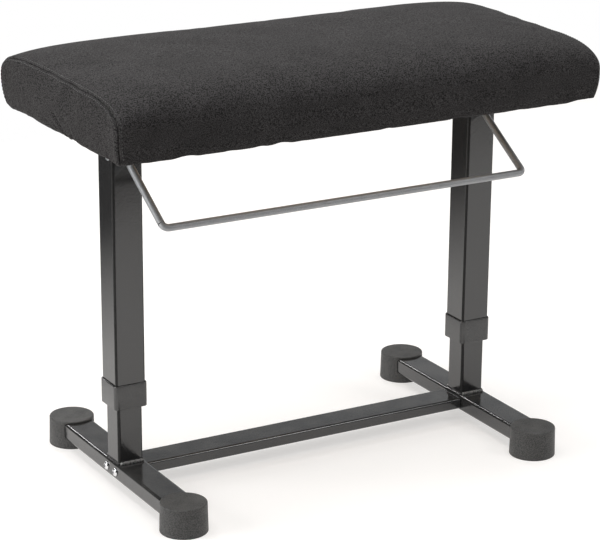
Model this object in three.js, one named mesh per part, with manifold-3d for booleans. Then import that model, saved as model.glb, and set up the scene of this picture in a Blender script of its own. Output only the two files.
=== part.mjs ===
import * as THREE from 'three';
import { mergeVertices } from 'three/addons/utils/BufferGeometryUtils.js';
import Module from 'manifold-3d';

// Height-adjustable keyboard bench: two telescoping columns on foot rails, a padded seat and a release bar.
// Millimetres, +Z up, +X along the seat, the release bar on the -Y side, at its lowest setting.
// The origin is on the floor under the middle of the seat.

const wasm = await Module();
wasm.setup();

// Sizes shared by the whole bench
const fit = 0.3;
const overrun = 5;
const quarterSteps = 3;
const roundSteps = 16;
const smallSteps = 12;
const screwSteps = 8;

// Round plastic foot, slipped over the end of a rail
const foot = {
  topRadius: 25.6, bottomRadius: 26.4, height: 33.2, spacing: 286, roof: 2.2, edge: 1.4,
  recessRadius: 17, recessDepth: 3, steps: 30,
};

// Flat rectangular tube from foot to foot
const rail = { shoulder: 0.5, height: 18.6, wall: 1.5, corner: 3, intoFoot: 5 };

// Flatter tube that ties the two rails together
const beam = { depth: 38, height: 13, wall: 1.5, corner: 2.5 };
const beamInsert = { length: 26 };
const beamBolt = {
  radius: 2.5, headRadius: 4.75, headHeight: 2.75, edgeGap: 8, grip: 22, socket: 3, socketDepth: 1.6,
};
const footScrew = { radius: 2, headRadius: 4, headHeight: 2, reach: 3.5 };

// Inner column
const lower = { width: 30, wall: 1.5, corner: 3, length: 320, bead: 2 };

// Outer column
const upper = { slideGap: 1.5, wall: 1.5, corner: 3, abovePivot: 27.8, bead: 1.6 };
const collar = {
  wall: 1.5, height: 28.2, lip: 2.7, skirtWall: 0.85, skirtShort: 2.5, edge: 1, aboveRail: 65.8,
};
const guide = { flange: 8, skirtLength: 26, skirtWall: 2, rodGap: 1 };

// Gas spring inside each column
const cylinderBolt = {
  radius: 4, acrossFlats: 13, headHeight: 4.6, intoCylinder: 10, toolGap: 1,
};
const cylinder = { sideGap: 2.5, topGap: 2, wall: 2, spare: 5.5, footDepth: 18, neck: 12, chamfer: 1 };
const piston = { height: 10, gap: 0.5 };
const rod = { radius: 5, threadRadius: 4, proud: 2 };
const travel = 130;
const rodPlate = { thickness: 5 };
const rodNut = { acrossFlats: 13, height: 6.5 };
const valve = { radius: 1.8, proud: 6.8, length: 17, press: 2.2 };

// Release bar under the front of the seat
const bar = {
  radius: 4, bend: 6.5, reach: 93.6, drop: 57.4, bendSteps: 6, sides: 12,
};
const lever = {
  pivotForward: 10, eyeRadius: 6.5, blade: 5, tang: 16, noseHeight: 6, nosePast: 4, gap: 0.2,
};
const leverPin = { radius: 3, headRadius: 5, headHeight: 2, tail: 3 };
const leverClip = { radius: 5.5, thickness: 1 };
const slot = { side: 1, below: 1, above: 3.2 };

// Pressed bracket between a column and the seat board
const bracket = {
  width: 60, thickness: 3, flange: 9, corner: 2, hemGap: 10.5, endGap: 11.5, screwSide: 10, screwEnd: 20,
};
const boardScrew = { radius: 2.2, headRadius: 4.5, headHeight: 2.6, tipCover: 2.5, clear: 0.4 };

// Upholstered seat
const board = { inset: 10.5, thickness: 12, corner: 18 };
const seat = {
  length: 593, depth: 301, height: 73.2, waist: 30.2, drawnIn: 4.5, cornerRadius: 8, endBulge: 2.5,
  endDrop: 11, topLean: 1.5, hem: 3.4, hemWidth: 30,
};

// Shares chosen by hand for the small turned heads and the lever's blade
const boltCrownShare = 0.55;
const boltSideShare = 0.88;
const boltRiseShare = 0.62;
const valveTipShare = 0.7;
const screwCrownShare = 0.6;
const eyeTangShare = 0.75;
const rodTangShare = 0.8;

// Shares chosen by hand for the pad's surface
const padRoundness = 3.4;
const padEndSharpness = 10;
const padLowerShares = [1, 0.66, 0.33];
const padUpperSteps = 13;
const padMiddleShares = [0, 0.3, 0.55, 0.74, 0.86, 0.93];
const padCornerSteps = 4;
const padEndShares = [0.25, 0.5, 0.75];

// Heights and places worked out from the sizes above
const bracketReach = bracket.width / 2 + bracket.endGap + seat.hemWidth;
const columnX = seat.length / 2 - bracketReach;
const footY = foot.spacing / 2;
const railTop = foot.height - foot.roof - fit;
const railBottom = railTop - rail.height;
const railMiddle = railBottom + rail.height / 2;
const railHalf = footY + rail.intoFoot;
const railRoofUnder = railTop - rail.wall;
const railWidth = lower.width + 2 * (lower.bead + rail.shoulder);
const beamHalf = columnX - railWidth / 2 - fit;
const boltSpacing = beam.depth - 2 * beamBolt.edgeGap;
const lowerBottom = railTop + fit;
const lowerTop = lowerBottom + lower.length;
const lowerInside = lower.width - 2 * lower.wall;
const guideBottom = lowerTop + fit;
const guideTop = guideBottom + guide.flange;
const upperInside = lower.width + 2 * upper.slideGap;
const upperWidth = upperInside + 2 * upper.wall;
const collarBottom = railTop + collar.aboveRail;
const upperBottom = collarBottom + collar.lip + fit;
const stroke = travel + piston.height + piston.gap + cylinder.spare;
const cylinderLength = cylinder.footDepth + stroke + cylinder.neck;
const cylinderTop = guideBottom - guide.skirtLength - cylinder.topGap;
const cylinderBottom = cylinderTop - cylinderLength;
const cylinderRadius = lowerInside / 2 - cylinder.sideGap;
const spacerLength = cylinderBottom - fit - lowerBottom;
const accessRadius = cylinderBolt.acrossFlats / Math.sqrt(3) + cylinderBolt.toolGap;
const boreBottom = cylinderBottom + cylinder.footDepth;
const boreTop = cylinderTop - cylinder.neck;
const boreRadius = cylinderRadius - cylinder.wall;
const pistonTop = boreTop - piston.gap - travel;
const plateBottom = guideTop + fit;
const plateTop = plateBottom + rodPlate.thickness;
const nutBottom = plateTop + fit;
const rodTop = nutBottom + rodNut.height + rod.proud;
const valveTop = rodTop + valve.proud;
const pivotY = -lever.pivotForward;
const pivotZ = valveTop + lever.gap + lever.noseHeight / 2;
const barY = pivotY - bar.reach;
const armSlope = bar.drop / bar.reach;
const armLength = Math.hypot(bar.reach, bar.drop);
const upperTop = pivotZ + upper.abovePivot;
const upperLength = upperTop - upperBottom;
const bracketBottom = upperTop + fit;
const bracketTop = bracketBottom + bracket.thickness;
const boardBottom = bracketTop + fit;
const seatBottom = boardBottom - fit - seat.hem;
const boardLength = seat.length - 2 * board.inset;
const boardDepth = seat.depth - 2 * board.inset;
const bracketLength = seat.depth - 2 * (seat.hemWidth + bracket.hemGap);
const screwDepth = board.thickness - boardScrew.tipCover;

// Materials
const powderCoat = { color: 0x1d1d1f, roughness: 0.32, metalness: 0.4 };
const satinSteel = { color: 0x4a4a4c, roughness: 0.45, metalness: 0.6 };
const brightSteel = { color: 0xd8d8dc, roughness: 0.25, metalness: 1 };
const zincSteel = { color: 0xa9adb2, roughness: 0.4, metalness: 0.9 };
const footPlastic = { color: 0x2e2e2f, roughness: 0.75, metalness: 0 };
const darkPlastic = { color: 0x202022, roughness: 0.55, metalness: 0 };
const plywood = { color: 0xb58e5c, roughness: 0.8, metalness: 0 };
const fabric = { color: 0x3a3938, roughness: 0.95, metalness: 0 };

const bench = new THREE.Group();

function add(name, geometry, finish, x = 0, y = 0, z = 0) {
  const mesh = new THREE.Mesh(geometry, new THREE.MeshStandardMaterial(finish));
  mesh.name = name;
  mesh.position.set(x, y, z);
  bench.add(mesh);
  return mesh;
}

// Joining and cutting of closed shapes
function toSolid(geometry) {
  const bare = geometry.clone();
  bare.deleteAttribute('normal');
  bare.deleteAttribute('uv');
  const merged = mergeVertices(bare);
  const vertProperties = new Float32Array(merged.attributes.position.array);
  const triVerts = new Uint32Array(merged.index.array);
  return new wasm.Manifold(new wasm.Mesh({ numProp: 3, vertProperties, triVerts }));
}

function toGeometry(solid) {
  const mesh = solid.getMesh();
  const geometry = new THREE.BufferGeometry();
  geometry.setAttribute('position', new THREE.BufferAttribute(mesh.vertProperties, 3));
  geometry.setIndex(new THREE.BufferAttribute(mesh.triVerts, 1));
  geometry.computeVertexNormals();
  return geometry;
}

function cut(geometry, tools) {
  let solid = toSolid(geometry);
  for (const tool of tools) {
    solid = solid.subtract(toSolid(tool));
  }
  return toGeometry(solid);
}

function join(geometries) {
  let solid = toSolid(geometries[0]);
  for (const other of geometries.slice(1)) {
    solid = solid.add(toSolid(other));
  }
  return toGeometry(solid);
}

// Outline of a rectangle with round corners, centred on the origin
function roundedRectangle(width, depth, corner, Kind = THREE.Shape) {
  const outline = new Kind();
  const x = width / 2 - corner;
  const y = depth / 2 - corner;
  outline.absarc(x, y, corner, 0, Math.PI / 2);
  outline.absarc(-x, y, corner, Math.PI / 2, Math.PI);
  outline.absarc(-x, -y, corner, Math.PI, 1.5 * Math.PI);
  outline.absarc(x, -y, corner, 1.5 * Math.PI, 2 * Math.PI);
  outline.closePath();
  return outline;
}

function extrude(outline, length, curveSegments = quarterSteps) {
  return new THREE.ExtrudeGeometry(outline, { depth: length, bevelEnabled: false, curveSegments });
}

// Square or rectangular bar and tube standing on the XY plane
function block(width, depth, corner, length) {
  return extrude(roundedRectangle(width, depth, corner), length);
}

function tube(width, depth, corner, wall, length) {
  const outline = roundedRectangle(width, depth, corner);
  const inside = Math.max(corner - wall, corner / roundSteps);
  outline.holes.push(
    roundedRectangle(width - 2 * wall, depth - 2 * wall, inside, THREE.Path),
  );
  return extrude(outline, length);
}

function ring(width, hole, corner, length) {
  return tube(width, width, corner, (width - hole) / 2, length);
}

// Round bar standing on the XY plane, and the same laid along X
function round(radius, length, steps = roundSteps) {
  const shape = new THREE.CylinderGeometry(radius, radius, length, steps);
  return shape.rotateX(Math.PI / 2).translate(0, 0, length / 2);
}

function roundAlongX(radius, length, steps = roundSteps) {
  return round(radius, length, steps).rotateY(Math.PI / 2);
}

function hexagon(acrossFlats, height) {
  return round(acrossFlats / Math.sqrt(3), height, 6);
}

// Solid of revolution about Z from [radius, height] points
function turned(points, steps = roundSteps) {
  const profile = points.map(([r, z]) => new THREE.Vector2(r, z));
  return new THREE.LatheGeometry(profile, steps).rotateX(Math.PI / 2);
}

// Square frustum that a weld bead or a chamfer is made of
function taperedBlock(bottomWidth, topWidth, corner, height) {
  const rings = [bottomWidth, topWidth].map((width) => roundedRectangle(width, width, corner));
  const loops = rings.map((outline) => outline.extractPoints(quarterSteps).shape);
  const position = [];
  loops.forEach((loop, level) => {
    loop.forEach((point) => position.push(point.x, point.y, level * height));
  });
  const count = loops[0].length;
  const index = [];
  for (let i = 0; i < count; i += 1) {
    const next = (i + 1) % count;
    index.push(i, next, count + next, i, count + next, count + i);
  }
  for (let i = 1; i < count - 1; i += 1) {
    index.push(0, i + 1, i, count, count + i, count + i + 1);
  }
  const geometry = new THREE.BufferGeometry();
  geometry.setAttribute('position', new THREE.Float32BufferAttribute(position, 3));
  geometry.setIndex(index);
  return geometry;
}

// Moulded foot with a pocket for the rail and a recessed underside for its screw
function footShape(side) {
  const { topRadius, bottomRadius, height, edge } = foot;
  const body = turned([
    [0, 0],
    [bottomRadius - edge / 2, 0],
    [bottomRadius, edge / 2],
    [topRadius, height - edge],
    [topRadius - edge / 3, height - edge / 3],
    [topRadius - edge, height],
    [0, height],
  ], foot.steps);
  const pocketLength = bottomRadius + rail.intoFoot + fit;
  const pocket = block(railWidth + 2 * fit, rail.height + 2 * fit, rail.corner, pocketLength + overrun);
  pocket.rotateX(Math.PI / 2).translate(0, rail.intoFoot + fit, railMiddle);
  const recess = round(foot.recessRadius, foot.recessDepth + overrun, foot.steps);
  recess.translate(0, 0, -overrun);
  const hole = round(footScrew.radius + fit, railMiddle, screwSteps);
  const shape = cut(body, [pocket, recess, hole]);
  return side > 0 ? shape : shape.rotateZ(Math.PI);
}

function footScrewShape() {
  const headBottom = foot.recessDepth - fit - footScrew.headHeight;
  const shoulder = headBottom + footScrew.headHeight;
  const tip = railBottom + rail.wall + footScrew.reach;
  const { radius, headRadius, headHeight } = footScrew;
  return turned([
    [0, headBottom],
    [headRadius - headHeight / 3, headBottom],
    [headRadius, headBottom + headHeight / 2],
    [headRadius, shoulder],
    [radius, shoulder],
    [radius, tip - radius],
    [0, tip],
  ], screwSteps);
}

// Rail along Y with its bolt, screw and access holes
function railShape() {
  const shape = tube(railWidth, rail.height, rail.corner, rail.wall, 2 * railHalf);
  shape.rotateX(Math.PI / 2).translate(0, railHalf, railMiddle);
  const tools = [];
  for (const side of [-1, 1]) {
    const bolt = roundAlongX(beamBolt.radius + fit, railWidth + 2 * overrun, smallSteps);
    bolt.translate(-railWidth / 2 - overrun, side * boltSpacing / 2, railMiddle);
    const screw = round(footScrew.radius + fit, rail.wall + 2 * overrun, screwSteps);
    screw.translate(0, side * footY, railBottom - overrun);
    tools.push(bolt, screw);
  }
  const access = round(accessRadius, rail.wall + 2 * overrun);
  access.translate(0, 0, railBottom - overrun);
  const through = round(cylinderBolt.radius + fit, rail.wall + 2 * overrun, smallSteps);
  through.translate(0, 0, railRoofUnder - overrun);
  tools.push(access, through);
  return cut(shape, tools);
}

function beamShape() {
  const shape = tube(beam.height, beam.depth, beam.corner, beam.wall, 2 * beamHalf);
  return shape.rotateY(Math.PI / 2).translate(-beamHalf, 0, railMiddle);
}

// Block with two threaded bores, pressed into each end of the beam
function beamInsertShape() {
  const inside = 2 * (beam.wall + fit);
  const corner = beam.corner - beam.wall;
  const shape = block(beam.height - inside, beam.depth - inside, corner, beamInsert.length);
  shape.rotateY(Math.PI / 2).translate(0, 0, railMiddle);
  const tools = [-1, 1].map((side) => {
    const bore = roundAlongX(beamBolt.radius + fit, beamInsert.length + 2 * overrun, smallSteps);
    return bore.translate(-overrun, side * boltSpacing / 2, railMiddle);
  });
  return cut(shape, tools);
}

// Button-head bolt along +X, its head under the origin plane
function beamBoltShape() {
  const { radius, headRadius, headHeight, socket, socketDepth } = beamBolt;
  const length = railWidth + fit + fit + beamBolt.grip;
  const body = turned([
    [0, -headHeight],
    [headRadius * boltCrownShare, -headHeight],
    [headRadius * boltSideShare, -headHeight * boltRiseShare],
    [headRadius, 0],
    [radius, 0],
    [radius, length - radius / 2],
    [radius / 2, length],
    [0, length],
  ], smallSteps);
  const hex = hexagon(socket, socketDepth + overrun).translate(0, 0, -headHeight - overrun);
  return cut(body, [hex]).rotateY(Math.PI / 2);
}

// Inner column with its weld bead on the rail
function lowerPostShape() {
  const wallTube = tube(lower.width, lower.width, lower.corner, lower.wall, lower.length);
  const bead = taperedBlock(lower.width + 2 * lower.bead, lower.width, lower.corner, lower.bead);
  const core = block(lowerInside, lowerInside, lower.corner - lower.wall, lower.bead + 2 * overrun);
  core.translate(0, 0, -overrun);
  return join([wallTube, cut(bead, [core])]).translate(0, 0, lowerBottom);
}

// Slide bush capping the inner column
function guidePlugShape() {
  const flange = block(upperInside - 2 * fit, upperInside - 2 * fit, upper.corner - upper.wall, guide.flange);
  flange.translate(0, 0, guideBottom);
  const skirtWidth = lowerInside - 2 * fit;
  const skirt = ring(
    skirtWidth, skirtWidth - 2 * guide.skirtWall, lower.corner - lower.wall,
    guide.skirtLength + guide.flange / 2,
  );
  skirt.translate(0, 0, guideBottom - guide.skirtLength);
  const bore = round(rod.radius + guide.rodGap, guide.flange + 2 * overrun);
  bore.translate(0, 0, guideBottom - overrun);
  const hollow = block(
    skirtWidth - 2 * guide.skirtWall, skirtWidth - 2 * guide.skirtWall, lower.corner - lower.wall,
    guide.skirtLength + guide.flange / 4,
  );
  hollow.translate(0, 0, guideBottom - guide.skirtLength);
  return cut(join([flange, skirt]), [bore, hollow]);
}

// Spacer that stands the gas spring on the rail
function spacerShape() {
  const width = lowerInside - 2 * fit;
  const shape = block(width, width, lower.corner - lower.wall, spacerLength);
  const bore = round(cylinderBolt.radius + fit, spacerLength + 2 * overrun, smallSteps);
  return cut(shape, [bore.translate(0, 0, -overrun)]).translate(0, 0, lowerBottom);
}

function cylinderBoltShape() {
  const headTop = railRoofUnder - fit;
  const head = hexagon(cylinderBolt.acrossFlats, cylinderBolt.headHeight);
  head.translate(0, 0, headTop - cylinderBolt.headHeight);
  const bottom = headTop - cylinderBolt.headHeight / 2;
  const shankLength = cylinderBottom + cylinderBolt.intoCylinder - bottom;
  const shank = round(cylinderBolt.radius, shankLength, smallSteps);
  return join([head, shank.translate(0, 0, bottom)]);
}

// Pressure tube with its threaded foot and rod guide
function cylinderShape() {
  const { chamfer } = cylinder;
  const radius = cylinderRadius;
  const threadTop = cylinderBottom + cylinderBolt.intoCylinder + fit;
  const outer = turned([
    [0, cylinderBottom],
    [radius - chamfer, cylinderBottom],
    [radius, cylinderBottom + chamfer],
    [radius, cylinderTop - chamfer],
    [radius - chamfer, cylinderTop],
    [0, cylinderTop],
  ]);
  const bore = round(boreRadius, boreTop - boreBottom).translate(0, 0, boreBottom);
  const neck = round(rod.radius + fit, cylinder.neck + 2 * overrun);
  neck.translate(0, 0, boreTop - overrun);
  const thread = round(cylinderBolt.radius + fit, threadTop - cylinderBottom + overrun, smallSteps);
  return cut(outer, [bore, neck, thread.translate(0, 0, cylinderBottom - overrun)]);
}

// Piston, rod and hollow threaded end
function gasRodShape() {
  const { radius, threadRadius } = rod;
  const body = turned([
    [0, pistonTop - piston.height],
    [boreRadius - fit, pistonTop - piston.height],
    [boreRadius - fit, pistonTop],
    [radius, pistonTop],
    [radius, plateBottom - fit],
    [threadRadius, plateBottom - fit],
    [threadRadius, rodTop],
    [0, rodTop],
  ]);
  const depth = valve.length - valve.proud + valve.press + fit;
  const bore = round(valve.radius + fit, depth + overrun, screwSteps).translate(0, 0, rodTop - depth);
  return cut(body, [bore]);
}

function valvePinShape() {
  const bottom = valveTop - valve.length;
  const { radius } = valve;
  return turned([
    [0, bottom],
    [radius, bottom],
    [radius, valveTop - radius / 3],
    [radius * valveTipShare, valveTop],
    [0, valveTop],
  ], screwSteps);
}

// Cross plate welded inside the outer column, and the nut that holds the rod to it
function rodPlateShape() {
  const width = upperInside - 2 * fit;
  const plate = block(width, width, upper.corner - upper.wall, rodPlate.thickness);
  const hole = round(rod.threadRadius + fit, rodPlate.thickness + 2 * overrun, smallSteps);
  return cut(plate, [hole.translate(0, 0, -overrun)]).translate(0, 0, plateBottom);
}

function rodNutShape() {
  const bore = round(rod.threadRadius + fit, rodNut.height + 2 * overrun, smallSteps);
  const nut = cut(hexagon(rodNut.acrossFlats, rodNut.height), [bore.translate(0, 0, -overrun)]);
  return nut.translate(0, 0, nutBottom);
}

// Height of the release bar's arm axis at a depth y
function armHeight(y) {
  return pivotZ + (y - pivotY) * armSlope;
}

// Outer column with the lever's slot and pivot holes, and its weld bead under the bracket
function upperPostShape() {
  const wallTube = tube(upperWidth, upperWidth, upper.corner, upper.wall, upperLength);
  const bead = taperedBlock(upperWidth, upperWidth + 2 * upper.bead, upper.corner, upper.bead);
  const core = block(upperInside, upperInside, upper.corner - upper.wall, upper.bead + 2 * overrun);
  const weld = cut(bead, [core.translate(0, 0, -overrun)]);
  const post = join([wallTube, weld.translate(0, 0, upperLength - upper.bead)]);
  post.translate(0, 0, upperBottom);
  const face = -upperWidth / 2;
  const rise = bar.radius * armLength / bar.reach;
  const low = armHeight(face) - rise - slot.below;
  const high = armHeight(face + upper.wall) + rise + slot.above;
  const width = 2 * (bar.radius + slot.side);
  const opening = block(width, high - low, bar.radius, upper.wall + 2 * overrun);
  opening.rotateX(Math.PI / 2);
  opening.translate(0, face + upper.wall + overrun, (low + high) / 2);
  const pivot = roundAlongX(leverPin.radius + fit, upperWidth + 2 * overrun, smallSteps);
  pivot.translate(-upperWidth / 2 - overrun, pivotY, pivotZ);
  return cut(post, [opening, pivot]);
}

// Guide collar: outer shell, bottom lip and inner skirt round the lower end of the outer column
function collarShape() {
  const socketWidth = upperWidth + 2 * fit;
  const width = socketWidth + 2 * collar.wall;
  const corner = upper.corner + fit + collar.wall;
  const inner = lower.width + 2 * fit;
  const main = block(width, width, corner, collar.height - 2 * collar.edge).translate(0, 0, collar.edge);
  const narrow = width - 2 * collar.edge;
  const bottom = taperedBlock(narrow, width, corner, collar.edge);
  const top = taperedBlock(width, narrow, corner, collar.edge);
  const solid = join([main, bottom, top.translate(0, 0, collar.height - collar.edge)]);
  const skirtOuter = inner + 2 * collar.skirtWall;
  const groove = tube(
    socketWidth, socketWidth, upper.corner + fit, (socketWidth - skirtOuter) / 2, collar.height,
  );
  const passage = block(inner, inner, lower.corner, collar.height + 2 * overrun);
  const trim = block(socketWidth, socketWidth, upper.corner + fit, collar.height);
  return cut(solid, [
    groove.translate(0, 0, collar.lip),
    passage.translate(0, 0, -overrun),
    trim.translate(0, 0, collar.height - collar.skirtShort),
  ]).translate(0, 0, collarBottom);
}

// Lever axle along +X with a head, and its retaining clip
function leverPinShape() {
  const half = upperWidth / 2 + fit;
  return turned([
    [0, -half - leverPin.headHeight],
    [leverPin.headRadius - leverPin.headHeight / 2, -half - leverPin.headHeight],
    [leverPin.headRadius, -half - leverPin.headHeight / 2],
    [leverPin.headRadius, -half],
    [leverPin.radius, -half],
    [leverPin.radius, half + leverPin.tail],
    [0, half + leverPin.tail],
  ], smallSteps).rotateY(Math.PI / 2);
}

function leverClipShape() {
  const disc = roundAlongX(leverClip.radius, leverClip.thickness, smallSteps);
  const hole = roundAlongX(leverPin.radius + fit / 2, leverClip.thickness + 2 * overrun, smallSteps);
  return cut(disc, [hole.translate(-overrun, 0, 0)]).translate(-leverClip.thickness / 2, 0, 0);
}

// Centre line of the bent rod, in its own sloping plane, with stations only where it bends
class BentRod extends THREE.Curve {
  constructor() {
    super();
    this.slope = Math.atan(armSlope);
    this.stations = [];
    const centre = new THREE.Vector2(columnX - bar.bend, bar.bend);
    this.place(new THREE.Vector2(columnX, armLength - lever.eyeRadius), new THREE.Vector2(0, -1));
    for (let i = 0; i <= bar.bendSteps; i += 1) {
      const facing = (Math.PI / 2) * (1 - i / bar.bendSteps);
      const point = centre.clone();
      point.x += bar.bend * Math.sin(facing);
      point.y -= bar.bend * Math.cos(facing);
      this.place(point, new THREE.Vector2(-Math.cos(facing), -Math.sin(facing)));
    }
    const mirrored = this.stations.map(({ point, tangent }) => ({
      point: new THREE.Vector3(-point.x, point.y, point.z),
      tangent: new THREE.Vector3(tangent.x, -tangent.y, -tangent.z),
    }));
    this.stations.push(...mirrored.reverse());
  }

  place(point, tangent) {
    this.stations.push({ point: this.lift(point), tangent: this.turnUp(tangent).normalize() });
  }

  turnUp(flat) {
    return new THREE.Vector3(flat.x, flat.y * Math.cos(this.slope), flat.y * Math.sin(this.slope));
  }

  lift(flat) {
    return this.turnUp(flat).add(new THREE.Vector3(0, barY, pivotZ - bar.drop));
  }

  getPoint(t) {
    return this.stations[Math.round(t * (this.stations.length - 1))].point.clone();
  }

  getSpacedPoints() {
    return this.stations.map((station) => station.point.clone());
  }

  computeFrenetFrames() {
    const across = new THREE.Vector3(0, -Math.sin(this.slope), Math.cos(this.slope));
    const tangents = this.stations.map((station) => station.tangent.clone());
    const normals = tangents.map(() => across.clone());
    const binormals = tangents.map((tangent) => tangent.clone().cross(across));
    return { tangents, normals, binormals };
  }
}

// Flattened end of the rod: tang, eye round the axle and nose over the valve
function leverBladeShape() {
  const { eyeRadius, tang, noseHeight, nosePast, pivotForward, blade } = lever;
  const slope = Math.atan(armSlope);
  const eye = extrude(new THREE.Shape().absarc(0, 0, eyeRadius, 0, 2 * Math.PI), blade, roundSteps);
  const noseEnd = pivotForward + nosePast;
  const nose = new THREE.Shape();
  nose.moveTo(0, -noseHeight / 2);
  nose.lineTo(noseEnd - noseHeight / 4, -noseHeight / 2);
  nose.lineTo(noseEnd, -noseHeight / 4);
  nose.lineTo(noseEnd, noseHeight / 4);
  nose.lineTo(0, noseHeight / 2 + noseHeight / 4);
  nose.closePath();
  const arm = new THREE.Shape();
  arm.moveTo(0, -eyeRadius * eyeTangShare);
  arm.lineTo(0, eyeRadius * eyeTangShare);
  arm.lineTo(-tang, bar.radius * rodTangShare);
  arm.lineTo(-tang, -bar.radius * rodTangShare);
  arm.closePath();
  const flat = join([eye, extrude(nose, blade), extrude(arm, blade).rotateZ(slope)]);
  // the outline's x runs along Y and its y along Z
  flat.rotateX(Math.PI / 2).rotateZ(Math.PI / 2).translate(-blade / 2, 0, 0);
  const bore = roundAlongX(leverPin.radius + fit, blade + 2 * overrun, smallSteps);
  return { flat, bore: bore.translate(-blade / 2 - overrun, 0, 0) };
}

function releaseBarShape() {
  const path = new BentRod();
  const section = new THREE.Shape().absarc(0, 0, bar.radius, 0, 2 * Math.PI);
  const rodShape = new THREE.ExtrudeGeometry(section, {
    steps: path.stations.length - 1, curveSegments: bar.sides, extrudePath: path,
  });
  const pieces = [rodShape];
  const bores = [];
  for (const side of [-1, 1]) {
    const { flat, bore } = leverBladeShape();
    pieces.push(flat.translate(side * columnX, pivotY, pivotZ));
    bores.push(bore.translate(side * columnX, pivotY, pivotZ));
  }
  return cut(join(pieces), bores);
}

// Pressed channel with a flat web under the board and two stiffening flanges
function bracketShape() {
  const { width, thickness, flange, corner } = bracket;
  const half = width / 2;
  const outline = new THREE.Shape();
  outline.moveTo(-half, -flange);
  outline.lineTo(-half + thickness, -flange);
  outline.lineTo(-half + thickness, 0);
  outline.lineTo(half - thickness, 0);
  outline.lineTo(half - thickness, -flange);
  outline.lineTo(half, -flange);
  outline.absarc(half - corner, thickness - corner, corner, 0, Math.PI / 2);
  outline.absarc(-half + corner, thickness - corner, corner, Math.PI / 2, Math.PI);
  outline.closePath();
  const channel = extrude(outline, bracketLength).rotateX(Math.PI / 2);
  channel.translate(0, bracketLength / 2, 0);
  const holes = screwPlaces().map(([x, y]) => {
    const hole = round(boardScrew.radius + boardScrew.clear, thickness + 2 * overrun, screwSteps);
    return hole.translate(x, y, -overrun);
  });
  return cut(channel, holes).translate(0, 0, bracketBottom);
}

function screwPlaces() {
  const places = [];
  const across = bracket.width / 2 - bracket.screwSide;
  const along = bracketLength / 2 - bracket.screwEnd;
  for (const x of [-1, 1]) {
    for (const y of [-1, 1]) {
      places.push([x * across, y * along]);
    }
  }
  return places;
}

function boardScrewShape() {
  const { radius, headRadius, headHeight } = boardScrew;
  const under = bracketBottom - fit;
  const tip = boardBottom + screwDepth;
  return turned([
    [0, under - headHeight],
    [headRadius * screwCrownShare, under - headHeight],
    [headRadius, under - headHeight / 2],
    [headRadius, under],
    [radius, under],
    [radius, tip - 2 * radius],
    [0, tip],
  ], screwSteps);
}

// Plywood seat board with blind screw holes
function boardShape() {
  const shape = extrude(roundedRectangle(boardLength, boardDepth, board.corner), board.thickness);
  const depth = screwDepth + fit;
  const holes = [];
  for (const side of [-1, 1]) {
    for (const [x, y] of screwPlaces()) {
      const hole = round(boardScrew.radius + fit, depth + overrun, screwSteps);
      holes.push(hole.translate(side * columnX + x, y, -overrun));
    }
  }
  return cut(shape, holes).translate(0, 0, boardBottom);
}

// Half of the pad's cross-section from the bottom edge to the middle of the top: [y share, height]
function padProfile(topHeight) {
  const points = padLowerShares.map((down) => ({
    inward: seat.drawnIn * down * down, share: 1, z: seat.waist * (1 - down),
  }));
  for (let i = 0; i <= padUpperSteps; i += 1) {
    const angle = (Math.PI / 2) * (i / padUpperSteps);
    const share = i === padUpperSteps ? 0 : Math.cos(angle) ** (2 / padRoundness);
    const rise = Math.sin(angle) ** (2 / padRoundness);
    points.push({ inward: 0, share, z: seat.waist + (topHeight - seat.waist) * rise });
  }
  return points;
}

// Half-depth of the pad and height of its crown at a distance x from the middle
function padHalfDepth(x) {
  const into = Math.max(0, Math.abs(x) - (seat.length / 2 - seat.cornerRadius));
  const r = seat.cornerRadius;
  return seat.depth / 2 - (r - Math.sqrt(Math.max(0, r * r - into * into)));
}

function padTop(x) {
  return seat.height - seat.endDrop * Math.abs(x / (seat.length / 2)) ** padEndSharpness;
}

function padStations() {
  const half = seat.length / 2;
  const start = half - seat.cornerRadius;
  const side = padMiddleShares.map((share) => share * start);
  for (let i = 0; i <= padCornerSteps; i += 1) {
    side.push(start + seat.cornerRadius * Math.sin((Math.PI / 2) * (i / padCornerSteps)));
  }
  return [...side.slice(1).reverse().map((x) => -x), ...side];
}

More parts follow.
